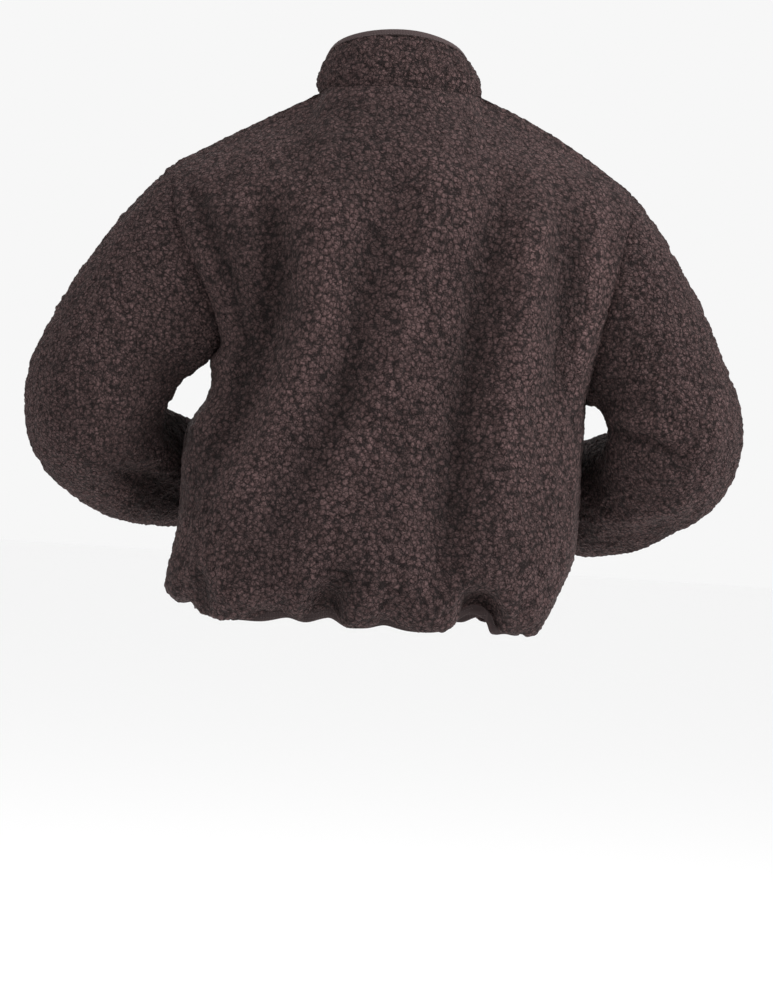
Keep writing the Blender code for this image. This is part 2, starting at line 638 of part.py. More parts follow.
def settle_underarms(grids, normals):
    """Turn the normals downwards where sleeve and body meet under each arm."""
    for side in ("left", "right"):
        underarm = grids["sleeve_" + side][0, 0]
        for name, grid in grids.items():
            distance = np.linalg.norm(grid - underarm, axis=-1)
            share = UNDERARM_TURN * np.exp(-(distance / UNDERARM_REACH) ** 2)
            if name.startswith("sleeve"):
                share[1:] = SLEEVE_TURN * np.exp(-(distance[1:] / SLEEVE_REACH) ** 2)
            normals[name] = unit(normals[name] - share[..., None] * np.array((0.0, 0.0, 1.0)))


def path_depth(points, fold):
    """A fold's depth at each point: soft across its width, and dying out at its ends."""
    flat = points[..., (0, 2)]
    path = np.array(fold.path)
    lengths = np.linalg.norm(np.diff(path, axis=0), axis=1)
    along = np.concatenate(([0], np.cumsum(lengths)))
    nearest = np.full(flat.shape[:-1], np.inf)
    place = np.zeros(flat.shape[:-1])
    for k in range(len(lengths)):
        step = path[k + 1] - path[k]
        t = np.clip(((flat - path[k]) @ step) / lengths[k] ** 2, 0, 1)
        distance = np.linalg.norm(flat - (path[k] + t[..., None] * step), axis=-1)
        closer = distance < nearest
        nearest = np.where(closer, distance, nearest)
        place = np.where(closer, along[k] + t * lengths[k], place)
    run_in = min(FOLD_RUN_IN, FOLD_RUN_SHARE * along[-1])
    fade = ease(mix(FOLD_END_SHARE, 1, np.minimum(place, along[-1] - place) / run_in))
    return fold.depth * np.exp(-(nearest / fold.width) ** 2) * fade


def folded(grids, normals):
    """Every grid with its folds pressed in along its normals."""
    out = {}
    for name, grid in grids.items():
        if name == "collar":
            out[name] = grid
            continue
        behind = ease((normals[name][..., 1] + FOLD_WRAP) / FOLD_TURN)
        ahead = ease((-normals[name][..., 1] + FOLD_WRAP) / FOLD_TURN)
        ahead = ahead * ease((np.abs(grid[..., 0]) - FRONT_EDGE) / FRONT_EDGE_CLEAR)
        depth = sum(path_depth(grid, fold) for fold in BACK_FOLDS) * behind
        if not name.startswith("sleeve"):
            depth = depth + sum(path_depth(grid, fold) for fold in FRONT_FOLDS) * ahead
        if name.startswith("sleeve"):
            spacing = np.linalg.norm(np.gradient(grid, axis=0), axis=-1)
            crowded = 1 - ease((spacing - CROWDED_RINGS) / CROWDED_RINGS)
            past_cap = np.clip(np.arange(len(grid)) / CAP_STRIPS, 0, 1) ** 2
            depth = depth * (1 - crowded * past_cap[:, None])
        out[name] = grid + normals[name] * depth[..., None]
    return out


def drawn_in(grid, tube):
    """The grid with its open edges moved half a seam gap into the piece."""
    out = grid.copy()
    half = 0.5 * SEAM_GAP
    out[0] += half * unit(grid[1] - grid[0])
    out[-1] += half * unit(grid[-2] - grid[-1])
    if not tube:
        draw = np.full((len(grid), 1), half)
        draw[SIDE_STRIPS - 1:SIDE_STRIPS + 3] = UNDERARM_DRAW
        out[:, 0] += draw * unit(grid[:, 1] - grid[:, 0])
        out[:, -1] += draw * unit(grid[:, -2] - grid[:, -1])
    return out


def finish_material(name):
    """A plain material with a finish's colour, roughness and metallic value."""
    material = bpy.data.materials.get(name)
    if material is None:
        finish = FINISHES[name]
        material = bpy.data.materials.new(name)
        material.use_nodes = True
        shader = material.node_tree.nodes["Principled BSDF"]
        shader.inputs["Base Color"].default_value = (*finish.colour, 1.0)
        shader.inputs["Roughness"].default_value = finish.roughness
        shader.inputs["Metallic"].default_value = finish.metallic
        material.diffuse_color = (*finish.colour, 1.0)
    return material


def place_object(name, mesh, finish):
    """An object of a mesh with a finish, in the jacket's collection."""
    mesh.materials.append(finish_material(finish))
    piece = bpy.data.objects.new(name, mesh)
    bpy.data.collections[COLLECTION].objects.link(piece)
    return piece


def wall(name, outer, inner, finish, tube=False):
    """A closed wall: an open grid shaped to the outer points, extruded to the inner ones."""
    rows, cols = outer.shape[:2]
    bm = bmesh.new()
    bmesh.ops.create_grid(bm, x_segments=cols - 1, y_segments=rows - 1, size=1.0)
    number = bm.verts.layers.int.new("number")
    bm.verts.ensure_lookup_table()
    for k, vert in enumerate(bm.verts):
        vert[number] = k
    outer_points = outer.reshape(-1, 3)
    inner_points = inner.reshape(-1, 3)
    grown = bmesh.ops.extrude_face_region(bm, geom=bm.faces[:], use_keep_orig=True)["geom"]
    raised = {item for item in grown if isinstance(item, bmesh.types.BMVert)}
    for vert in bm.verts:
        source = outer_points if vert in raised else inner_points
        vert.co = source[vert[number]]
    if tube:
        ends = [face for face in bm.faces if spans_tube_seam(face, number, cols)]
        bmesh.ops.delete(bm, geom=ends, context="FACES")
        bmesh.ops.remove_doubles(bm, verts=bm.verts, dist=WELD)
    bmesh.ops.triangulate(bm, faces=bm.faces, quad_method="SHORT_EDGE")
    turn_outwards(bm)
    mesh = bpy.data.meshes.new(name)
    bm.to_mesh(mesh)
    bm.free()
    mesh.shade_smooth()
    mesh.set_sharp_from_angle(angle=SHARP_EDGE)
    return place_object(name, mesh, finish)


def turn_outwards(bm):
    """Point every face of a closed solid away from its inside."""
    bmesh.ops.recalc_face_normals(bm, faces=bm.faces)
    if bm.calc_volume(signed=True) < 0:
        bmesh.ops.reverse_faces(bm, faces=bm.faces)


def spans_tube_seam(face, number, cols):
    """Whether a side face stands on the first or the last column of a tube's grid."""
    columns = {vert[number] % cols for vert in face.verts}
    return len(columns) == 1 and columns <= {0, cols - 1}


def fleece_wall(name, grid, normals, tube=False):
    """A wall of fleece drawn inwards from a panel's outer points."""
    inner = grid - normals * FLEECE_WALL
    return wall(name, drawn_in(grid, tube), drawn_in(inner, tube), "fleece", tube)


def edge_binding(name, outer_edge, inner_edge, away, height, tuck, tube=False):
    """A strip of binding that carries on from a cloth edge, a seam gap away from it."""
    middle = 0.5 * (outer_edge + inner_edge)
    across = unit(outer_edge - inner_edge)
    half = 0.5 * BINDING_WALL
    profile = SHORT_BINDING if height < 2 * BINDING_WALL else TALL_BINDING
    steps = [SEAM_GAP] + [step.up * height for step in profile[1:]]
    swell = [step.thick for step in profile]
    shift = [step.turned_in * tuck for step in profile]
    outer = np.array([middle + away * s + across * (half * w - k) for s, w, k in zip(steps, swell, shift)])
    inner = np.array([middle + away * s - across * (half * w + k) for s, w, k in zip(steps, swell, shift)])
    return wall(name, outer, inner, "binding", tube)


def hem_binding(grids):
    """The elastic band that the hem is gathered on, just inside its turned-in edge."""
    left, middle, right = (grids[name][0] for name in ("front_left", "back", "front_right"))
    edge = np.concatenate((left[::-1], middle[1:-1], right))
    out = unit(edge * np.array((1.0, 1.0, 0.0)))
    out[[0, -1]] = (0.0, -1.0, 0.0)
    half = 0.5 * BINDING_WALL
    centre = edge - out * (half * BINDING_SWELL + HEM_BINDING_GAP)
    centre[:, 2] += HEM_BINDING_LAP
    down = np.tile(np.array((0.0, 0.0, -1.0)), (len(edge), 1))
    edge_binding("hem_binding", centre + out * half, centre - out * half, down, HEM_BINDING_HEIGHT, 0.0)


# Zip

def zip_line(fronts, collar_grid, normals, column_index, collar_column):
    """The cloth edge beside the zip: its points, its inner neighbours and its normals."""
    edge = np.concatenate((fronts[1:, column_index], collar_grid[1:, collar_column]))
    inside = 1 if collar_column == 0 else -2
    beside = np.concatenate((fronts[1:, column_index - 1], collar_grid[1:, inside]))
    out = np.concatenate((normals[0][1:, column_index], normals[1][1:, collar_column]))
    beside_out = np.concatenate((normals[0][1:, column_index - 1], normals[1][1:, inside]))
    out[:, 0] = 0
    return edge, beside, unit(out), beside_out


def zip_tape(side, line):
    """One tape, just behind the cloth's edge, and the middle line of its outer face."""
    sign = 1 if side == "left" else -1
    edge, beside, out, beside_out = line
    back_of_edge = edge - out * (FLEECE_WALL + TAPE_CLEARANCE)
    back_of_beside = beside - beside_out * (FLEECE_WALL + TAPE_CLEARANCE)
    near = back_of_edge.copy()
    near[:, 0] = sign * TAPE_INNER_X
    far = mix(back_of_edge, back_of_beside, TAPE_REACH)
    face = np.stack((near, back_of_edge, far), axis=1)
    directions = np.stack((out, out, unit(mix(out, beside_out, TAPE_REACH))), axis=1)
    wall("zip_tape_" + side, face, face - directions * TAPE_THICKNESS, "tape")
    return near, out


def zip_chain(line, out, end):
    """The closed teeth, one narrow strip between the tapes, up to the slider."""
    middle = line - out * 0.5 * TAPE_THICKNESS
    middle[:, 0] = 0
    heights = middle[:, 2]
    keep = heights < end[2] - CHAIN_END_ROOM
    line_in = np.concatenate((middle[keep], end[None]))
    out_in = np.concatenate((out[keep], out[~keep][:1]))
    half = np.array((CHAIN_HALF_WIDTH, 0.0, 0.0))
    front = line_in + out_in * 0.5 * CHAIN_THICKNESS
    rear = line_in - out_in * 0.5 * CHAIN_THICKNESS
    outer = np.stack((front + half, front - half), axis=1)
    inner = np.stack((rear + half, rear - half), axis=1)
    wall("zip_chain", outer, inner, "teeth")


def frame_at(middle, out, height):
    """The point of the zip's middle line at a height, and its up and outward directions."""
    order = np.argsort(middle[:, 2])
    z = middle[order, 2]
    point = np.array((0.0, np.interp(height, z, middle[order, 1]), height))
    outward = unit(np.array((0.0, np.interp(height, z, out[order, 1]), np.interp(height, z, out[order, 2]))))
    upward = np.cross(np.array((1.0, 0.0, 0.0)), outward)
    if upward[2] < 0:
        upward = -upward
    return point, upward, outward


def box_mesh(name, boxes, frame, bevel):
    """Boxes given by x, up and out limits in a frame, as one bevelled solid each."""
    point, upward, outward = frame
    made = []
    for k, (x, up, out) in enumerate(boxes):
        bm = bmesh.new()
        bmesh.ops.create_cube(bm, size=1.0)
        for vert in bm.verts:
            local = [mix(low, high, value + 0.5) for (low, high), value in zip((x, up, out), vert.co)]
            place = point + np.array((1.0, 0, 0)) * local[0] + upward * local[1] + outward * local[2]
            vert.co = place
        turn_outwards(bm)
        if bevel:
            bmesh.ops.bevel(bm, geom=bm.edges[:], offset=bevel, segments=1, affect="EDGES")
        turn_outwards(bm)
        mesh = bpy.data.meshes.new(name + "_" + str(k))
        bm.to_mesh(mesh)
        bm.free()
        made.append(mesh)
    return made


def joined(name, meshes, finish):
    """Several overlapping solids united into one object."""
    parts = [place_object(name if k == 0 else name + "_part", mesh, finish) for k, mesh in enumerate(meshes)]
    base = parts[0]
    for other in parts[1:]:
        union = base.modifiers.new("union", "BOOLEAN")
        union.operation = "UNION"
        union.object = other
        evaluated = base.evaluated_get(refreshed())
        fused = bpy.data.meshes.new_from_object(evaluated)
        base.modifiers.remove(union)
        base.data = fused
        bpy.data.objects.remove(other)
    base.data.name = name
    return base


def refreshed():
    """The scene's state with every change worked in."""
    layer = bpy.context.view_layer
    layer.update()
    return bpy.context.evaluated_depsgraph_get()


def slider_and_pull(frame):
    """The slider with its bail, and the pull tab that hangs from it on a crossbar."""
    half_chain = 0.5 * CHAIN_THICKNESS
    gap = half_chain + SLIDER_GAP
    face = gap + SLIDER_PLATE
    half_width = 0.5 * SLIDER_WIDTH
    half_length = 0.5 * SLIDER_LENGTH
    crossbar_out = face + CROSSBAR_LIFT
    bail_in = crossbar_out + CROSSBAR_RADIUS + BAIL_ROOM
    bail_out = bail_in + BAIL_THICKNESS
    bail_far = bail_in + BAIL_LEG_OVERLAP
    bridge = gap + PLATE_OVERLAP
    bail_foot = face - BAIL_SINK
    bridge_wide = (-BRIDGE_HALF_WIDTH, BRIDGE_HALF_WIDTH)
    bail_wide = (-BAIL_HALF_WIDTH, BAIL_HALF_WIDTH)
    bail_bar = (-BAIL_BAR_HALF_WIDTH, BAIL_BAR_HALF_WIDTH)
    plates = [
        ((-half_width, half_width), (-half_length, half_length), (gap, face)),
        ((-half_width, half_width), (-half_length, half_length), (-face, -gap)),
        (bridge_wide, (BRIDGE_START, half_length - PLATE_OVERLAP), (-bridge, bridge)),
        (bail_wide, (BAIL_LEG_START, BAIL_LEG_END), (bail_foot, bail_far)),
        (bail_wide, (-BAIL_LEG_END, -BAIL_LEG_START), (bail_foot, bail_far)),
        (bail_bar, (-BAIL_BAR_HALF_LENGTH, BAIL_BAR_HALF_LENGTH), (bail_in, bail_out)),
    ]
    meshes = box_mesh("zip_slider", plates[:2], frame, METAL_BEVEL)
    meshes += box_mesh("zip_slider", plates[2:], frame, 0)
    joined("zip_slider", meshes, "metal")
    point, upward, outward = frame
    pivot = point + outward * crossbar_out
    half_pull = 0.5 * PULL_WIDTH
    half_thick = 0.5 * PULL_THICKNESS
    leg_thick = (-half_thick + PULL_LEG_STEP, half_thick - PULL_LEG_STEP)
    leg_long = (PULL_LEG_FOOT, PULL_LEG_TOP)
    square = (-CROSSBAR_HALF, CROSSBAR_HALF)
    bar_reach = half_pull - CROSSBAR_SHORTER
    bars = [
        ((-half_pull, half_pull), (-PULL_LENGTH, PULL_PLATE_TOP), (-half_thick, half_thick)),
        ((-half_pull, -half_pull + PULL_LEG_WIDTH), leg_long, leg_thick),
        ((half_pull - PULL_LEG_WIDTH, half_pull), leg_long, leg_thick),
        ((-bar_reach, bar_reach), square, square),
    ]
    pull_frame = (pivot, upward, outward)
    meshes = box_mesh("zip_pull", bars[:1], pull_frame, METAL_BEVEL)
    meshes += box_mesh("zip_pull", bars[1:], pull_frame, 0)
    pull = joined("zip_pull", meshes, "metal")
    for vert in pull.data.vertices:
        vert.co = [value - shift for value, shift in zip(vert.co, pivot)]
    pull.location = pivot


def zip_small_parts(middle, out, slider_frame):
    """The two top stops on the tapes and the box at the foot of the teeth."""
    point, upward, outward = slider_frame
    face = 0.5 * TAPE_THICKNESS + SEAM_GAP
    top = (point + upward * (0.5 * SLIDER_LENGTH + STOP_ROOM), upward, outward)
    for side, sign in (("left", 1), ("right", -1)):
        x = sorted((sign * STOP_NEAR_X, sign * STOP_FAR_X))
        block = [(x, (0.0, STOP_HEIGHT), (face, face + STOP_THICKNESS))]
        mesh = box_mesh("zip_stop_" + side, block, top, METAL_BEVEL)
        place_object("zip_stop_" + side, mesh[0], "metal")
    low, next_up = middle[0], middle[1]
    along = unit((next_up - low) * np.array((0.0, 1.0, 1.0)))
    square = np.cross(along, np.array((1.0, 0.0, 0.0)))
    square = square if square[1] < 0 else -square
    foot = (0.5 * (low + next_up) * np.array((0.0, 1.0, 1.0)), along, square)
    face = 0.5 * CHAIN_THICKNESS + 2 * SEAM_GAP
    box_high = (-BOX_HALF_HEIGHT, BOX_HALF_HEIGHT)
    box = [((-BOX_HALF_WIDTH, BOX_HALF_WIDTH), box_high, (face, face + BOX_THICKNESS))]
    place_object("zip_box", box_mesh("zip_box", box, foot, BOX_BEVEL)[0], "metal")


# The whole jacket

def main():
    for item in list(bpy.data.objects):
        bpy.data.objects.remove(item)
    bpy.context.scene.collection.children.link(bpy.data.collections.new(COLLECTION))

    grids = {"back": torso_panel("back")}
    grids["front_left"] = torso_panel("front", "left")
    grids["front_right"] = torso_panel("front", "right")
    grids["sleeve_left"] = sleeve("left", grids["back"], grids["front_left"])
    grids["sleeve_right"] = sleeve("right", grids["back"], grids["front_right"])
    grids["collar"] = collar(grids["back"], grids["front_left"], grids["front_right"])
    signs = dict.fromkeys(grids, 1)
    signs["front_left"] = -1
    signs["sleeve_right"] = -1
    grids = folded(grids, shared_normals(grids, signs))
    normals = shared_normals(grids, signs)
    settle_underarms(grids, normals)
    for name in ("front_left", "front_right"):
        normals[name][:, -1, 0] = 0
        normals[name][:, -1] = unit(normals[name][:, -1])
    normals["collar"][:, (0, -1), 0] = 0
    normals["collar"] = unit(normals["collar"])
    for name, grid in grids.items():
        fleece_wall(name, grid, normals[name], name.startswith("sleeve"))

    inner = {name: grid - normals[name] * FLEECE_WALL for name, grid in grids.items()}
    top = grids["collar"][-1]
    away = unit(top - grids["collar"][-2])
    edge_binding("collar_binding", top, inner["collar"][-1], away, COLLAR_BINDING_HEIGHT, 0.0)
    hem_binding(grids)
    for side in ("left", "right"):
        name = "sleeve_" + side
        away = unit(grids[name][-1] - grids[name][-2])
        edge_binding("cuff_binding_" + side, grids[name][-1], inner[name][-1], away,
                     CUFF_BINDING_LENGTH, CUFF_BINDING_TUCK, tube=True)

    lines = {}
    for side, collar_column in (("left", 0), ("right", -1)):
        name = "front_" + side
        lines[side] = zip_line(grids[name], grids["collar"], (normals[name], normals["collar"]),
                               grids[name].shape[1] - 1, collar_column)
    near, out = zip_tape("left", lines["left"])
    zip_tape("right", lines["right"])
    middle = near - out * 0.5 * TAPE_THICKNESS
    slider_height = middle[:, 2].max() - SLIDER_DROP
    slider_frame = frame_at(middle, out, slider_height)
    zip_chain(near, out, slider_frame[0])
    slider_and_pull(slider_frame)
    zip_small_parts(middle, out, slider_frame)


main()
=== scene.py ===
"""Sherpa zip jacket: pile, seams, ribs, teeth and the studio, dressed on the CAD solids.

Every size is in metres, in the frame of the solids: the front faces -Y, the wearer's left
is +X, and the origin is the middle of the neck opening.
"""
import math
from collections import namedtuple

import bmesh
import bpy
import numpy as np
from mathutils import Matrix, Vector, kdtree, noise
from mathutils.bvhtree import BVHTree


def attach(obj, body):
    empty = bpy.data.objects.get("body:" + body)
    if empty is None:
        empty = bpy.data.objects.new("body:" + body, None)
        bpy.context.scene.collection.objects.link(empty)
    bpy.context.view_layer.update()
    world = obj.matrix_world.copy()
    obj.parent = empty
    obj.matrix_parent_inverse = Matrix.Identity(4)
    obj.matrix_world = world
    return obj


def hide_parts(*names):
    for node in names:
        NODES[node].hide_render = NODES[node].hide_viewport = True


bl_info = {
    "name": "Sherpa zip jacket",
    "version": (1, 0, 0),
    "blender": (4, 5, 0),
    "location": "3D View > Sidebar > Jacket",
    "description": "Dresses the solids of a sherpa zip jacket and sets up its studio",
    "category": "Object",
}

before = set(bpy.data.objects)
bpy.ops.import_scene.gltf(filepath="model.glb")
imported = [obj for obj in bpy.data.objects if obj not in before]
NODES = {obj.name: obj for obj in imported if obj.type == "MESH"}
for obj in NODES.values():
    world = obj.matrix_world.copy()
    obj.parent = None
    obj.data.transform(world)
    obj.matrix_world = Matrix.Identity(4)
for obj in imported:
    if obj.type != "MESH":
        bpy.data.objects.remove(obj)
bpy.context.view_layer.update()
BODY = "jacket"

# Fleece: how each piece is cut, and how fine its mesh is
Cut = namedtuple("Cut", "node piece width length share held levels cuts large_crumbs")
CUTS = (
    Cut("back", "back_fleece", 0.560, 0.660, 0.90, "gathered", 2, 1, True),
    Cut("front_left", "front_left_fleece", 0.310, 0.640, 0.88, "gathered", 2, 1, False),
    Cut("front_right", "front_right_fleece", 0.310, 0.640, 0.88, "gathered", 2, 1, False),
    Cut("sleeve_left", "sleeve_left_fleece", 0.480, 0.620, 0.80, "gathered", 2, 2, False),
    Cut("sleeve_right", "sleeve_right_fleece", 0.480, 0.620, 0.80, "gathered", 2, 2, False),
    Cut("collar", "collar_fleece", 0.480, 0.075, 0.90, "gathered", 3, 1, False),
)
WELD = 0.00002
WALL_REACH = 0.0085
RIM_START = 0.0003
OPPOSITE = -0.85
SHARP = math.radians(65)
PAIR_ANGLE = math.radians(80)
OUTER, RIM, INNER = 0, 1, 2
FIT_ROUNDS = 3
FIT_LEVELS = 2

# Pile
SMALL_CRUMB = 0.0050
LARGE_CRUMB = 0.0066
FINE_CRUMB = 0.0030
PILE_RELIEF = 0.0026
PILE_LIFT = 0.0011
SEAM_SINK = 0.0012
SEAM_REACH = 0.0055
LOOSE_RELIEF = 0.0016
LOOSE_SCALE = 26.0
TUFT_RELIEF = 0.0022
TUFT_SCALE = 88.0
SMALL_CELL = 0.0048
LARGE_CELL = 0.0057
CRACK_WARP = 0.0036
CRACK_BUMP = 0.0024
# Crease depth that gives the full painted shade in a trough, or the full painted light on a ridge
FULL_FOLD_SHADE_DEPTH = 0.0042
SEAM_CLOSE = 0.00028
EDGE_CALM = 0.010
DEEPEST = 0.0085
HIGHEST = 0.0060
TUFT_CALM = 0.02
LARGE_MORE = 0.35
LARGE_START = -0.10
LARGE_SPAN = 0.25
LARGE_HALF_WIDTH = 0.16
SMALL_SHARE = 0.78
FINE_SHARE = 0.22
CRUMB_TOP = 1.05
CRUMB_DROP = 1.35
CRUMB_POWER = 1.6
SEEDS = {"small": 3.0, "fine": 8.0, "large": 5.0, "loose": 11.0, "tuft": 17.0}

# Look of the pile: where each value runs from and to, and the tone that it gives there
Tone = namedtuple("Tone", "low high first last")
# Painted shade: over this span of the crumb pattern the colour runs from the dark crack colour to
# the tips' colour
CRACK_SHADE_SPAN = (0.10, 0.72)
CURL_TONE = Tone(0.36, 0.64, 1.24, 0.62)
# Painted shade: the pile's colour is darker where the crumbs are low and a little lighter at their
# tops
CRUMB_SHADE_TONE = Tone(0.05, 0.60, 0.74, 1.05)
NAP_TONE = Tone(0.38, 0.62, 0.88, 1.08)
# Painted shade and light: the pile's colour is darker in the creases' troughs and lighter on their
# ridges
FOLD_LIGHT_AND_SHADE_TONE = Tone(-1.0, 1.0, 1.20, 0.42)
CRACK_SPAN = (0.0, 0.34)
ROUND_SPAN = (0.80, 0.05)
ROUND_SHARE = 0.60
WARP_SCALE = 260.0
CURL_SCALE = 560.0
CURL_BUMP = 0.0014
CURL_STRENGTH = 0.75
NAP_SCALE = 15.0
SHEEN_ROUGHNESS = 0.6
SHEEN_TINT = (0.9, 0.66, 0.64, 1.0)

# Look of the smooth cloth and the metal
KNIT_SCALE = 900.0
KNIT_BUMP = 0.0004
RIB_SCALE = 1100.0
RIB_BUMP = 0.0003
RIB_STRENGTH = 0.9
GRAIN_STRENGTH = 0.4
# Painted shade: the share of the colour left in the grooves of the ribs and of the tape's weave
GROOVE_SHADE_SHARE = 0.6
WEAVE_SCALE = 330.0
WEAVE_WARP = 1.5
WEAVE_BUMP = 0.0002
WEAVE_STRENGTH = 0.6
METAL_SCALE = 260.0
METAL_ROUGHNESS = (0.30, 0.46)

# Creases: paths of x, z places, pressed in or raised along the cloth's own direction.
# Side 1 faces back, as the photo does, and side -1 faces forwards.
# Their depths also set painted shade in the pile's colour in troughs and painted light on ridges.
Crease = namedtuple("Crease", "name side depth width path")
CREASES = (
    Crease("left armhole trough", 1, -0.0040, 0.010, (
        (0.236, -0.097), (0.212, -0.128), (0.190, -0.171), (0.168, -0.213), (0.157, -0.246),
        (0.145, -0.283), (0.150, -0.322), (0.160, -0.344))),
    Crease("left armhole ridge", 1, 0.0020, 0.009, (
        (0.240, -0.119), (0.222, -0.145), (0.202, -0.188), (0.183, -0.236))),
    Crease("right side ridge", 1, 0.0034, 0.009, (
        (-0.222, -0.107), (-0.219, -0.178), (-0.218, -0.233), (-0.208, -0.288), (-0.207, -0.343))),
    Crease("right arm upper ridge", 1, 0.0030, 0.010, (
        (-0.240, -0.336), (-0.295, -0.349), (-0.340, -0.368))),
    Crease("right arm trough", 1, -0.0035, 0.008, (
        (-0.246, -0.350), (-0.285, -0.360), (-0.330, -0.377))),
    Crease("right arm thin ridge", 1, 0.0020, 0.007, (
        (-0.236, -0.448), (-0.291, -0.448), (-0.355, -0.418))),
    Crease("right hollow", 1, -0.0035, 0.010, (
        (-0.226, -0.375), (-0.235, -0.402), (-0.246, -0.428))),
    Crease("left bag edge", 1, -0.0035, 0.009, ((0.291, -0.429), (0.264, -0.436), (0.236, -0.437))),
    Crease("left hollow", 1, -0.0062, 0.016, ((0.238, -0.371), (0.217, -0.382), (0.205, -0.405))),
    Crease("left low hollow", 1, -0.0062, 0.018, (
        (0.262, -0.440), (0.232, -0.452), (0.206, -0.458))),
    Crease("pinch by the left side", 1, -0.0060, 0.009, (
        (0.170, -0.575), (0.176, -0.552), (0.184, -0.526))),
    Crease("pinch by the left arch", 1, -0.0045, 0.010, (
        (0.096, -0.590), (0.112, -0.574), (0.128, -0.586))),
    Crease("pinch over the notch", 1, -0.0078, 0.013, (
        (0.046, -0.582), (0.038, -0.560), (0.030, -0.536), (0.022, -0.514))),
    Crease("pinch in the middle", 1, -0.0045, 0.010, ((-0.022, -0.600), (-0.017, -0.578))),
    Crease("pinch by the wide arch", 1, -0.0078, 0.014, (
        (-0.110, -0.536), (-0.122, -0.560), (-0.124, -0.586))),
    Crease("neck gather left", 1, -0.0018, 0.009, (
        (0.058, -0.020), (0.052, -0.060), (0.058, -0.105))),
    Crease("neck gather right", 1, -0.0018, 0.008, (
        (-0.070, -0.010), (-0.078, -0.050), (-0.072, -0.100))),
    Crease("shoulder drape", 1, 0.0018, 0.014, ((0.120, -0.060), (0.150, -0.105), (0.160, -0.150))),
    Crease("hollow by the left armhole", 1, -0.0045, 0.017, (
        (0.149, -0.116), (0.122, -0.167), (0.116, -0.221), (0.126, -0.276), (0.144, -0.332),
        (0.171, -0.400), (0.195, -0.456))),
    Crease("left blade ridge", 1, 0.0028, 0.018, (
        (0.079, -0.109), (0.067, -0.163), (0.067, -0.251), (0.090, -0.318), (0.124, -0.397),
        (0.155, -0.476))),
    Crease("middle left trough", 1, -0.0036, 0.016, (
        (-0.006, -0.104), (0.020, -0.182), (0.028, -0.254), (0.040, -0.337), (0.072, -0.405),
        (0.092, -0.455), (0.127, -0.523))),
    Crease("middle ridge", 1, 0.0026, 0.016, (
        (-0.041, -0.058), (-0.041, -0.145), (-0.025, -0.234), (-0.011, -0.323), (0.020, -0.390),
        (0.053, -0.469))),
    Crease("middle right trough", 1, -0.0045, 0.017, (
        (-0.115, -0.097), (-0.103, -0.163), (-0.091, -0.230), (-0.090, -0.301), (-0.080, -0.373),
        (-0.078, -0.466), (-0.078, -0.549))),
    Crease("right ridge", 1, 0.0028, 0.014, (
        (-0.157, -0.072), (-0.150, -0.160), (-0.148, -0.237), (-0.141, -0.325), (-0.140, -0.402))),
    Crease("right side trough", 1, -0.0034, 0.012, (
        (-0.199, -0.119), (-0.188, -0.213), (-0.184, -0.268), (-0.183, -0.334))),
    Crease("front left armhole trough", -1, -0.0040, 0.010, (
        (0.222, -0.120), (0.196, -0.170), (0.176, -0.225), (0.166, -0.270))),
    Crease("front left drape", -1, -0.0030, 0.012, (
        (0.170, -0.150), (0.130, -0.215), (0.092, -0.300))),
    Crease("front left waist", -1, 0.0022, 0.013, (
        (0.030, -0.380), (0.080, -0.420), (0.140, -0.440))),
    Crease("front left hem pinch", -1, -0.0035, 0.008, ((0.100, -0.585), (0.094, -0.545))),
    Crease("front left hem pinch two", -1, -0.0030, 0.007, ((0.150, -0.580), (0.155, -0.552))),
    Crease("front right armhole trough", -1, -0.0035, 0.010, (
        (-0.230, -0.130), (-0.210, -0.180), (-0.198, -0.240), (-0.200, -0.290))),
    Crease("front right drape", -1, -0.0030, 0.012, (
        (-0.180, -0.170), (-0.140, -0.240), (-0.100, -0.330))),
    Crease("front right waist", -1, 0.0022, 0.012, (
        (-0.040, -0.400), (-0.090, -0.432), (-0.150, -0.450))),
    Crease("front right hem pinch", -1, -0.0035, 0.008, ((-0.080, -0.585), (-0.084, -0.548))),
    Crease("front right hem pinch two", -1, -0.0030, 0.007, ((-0.135, -0.583), (-0.130, -0.550))),
    Crease("left inner elbow", -1, -0.0040, 0.009, (
        (0.240, -0.350), (0.280, -0.366), (0.330, -0.352))),
    Crease("left inner elbow two", -1, -0.0030, 0.008, (
        (0.250, -0.395), (0.290, -0.405), (0.335, -0.392))),
    Crease("left forearm drape", -1, 0.0022, 0.009, (
        (0.200, -0.400), (0.235, -0.440), (0.245, -0.470))),
    Crease("left upper arm drape", -1, -0.0025, 0.012, (
        (0.250, -0.200), (0.285, -0.260), (0.340, -0.300))),
    Crease("right inner elbow", -1, -0.0040, 0.009, (
        (-0.250, -0.345), (-0.295, -0.360), (-0.345, -0.348))),
    Crease("right inner elbow two", -1, -0.0030, 0.008, (
        (-0.255, -0.392), (-0.300, -0.402), (-0.345, -0.388))),
    Crease("right forearm drape", -1, 0.0022, 0.009, (
        (-0.205, -0.405), (-0.240, -0.440), (-0.252, -0.472))),
    Crease("right upper arm drape", -1, -0.0025, 0.012, (
        (-0.262, -0.210), (-0.300, -0.265), (-0.350, -0.300))),
)
ZIP_TROUGH_X = 0.011
ZIP_TROUGH_WIDTH = 0.0032
ZIP_TROUGH_DEPTH = 0.0022
PATH_FADE = 0.35
PATH_END_SHARE = 0.25
FACING_GAIN = 2.5
FACING_SHARE = 0.35
AHEAD_GAIN = 3
AHEAD_START = 0.5

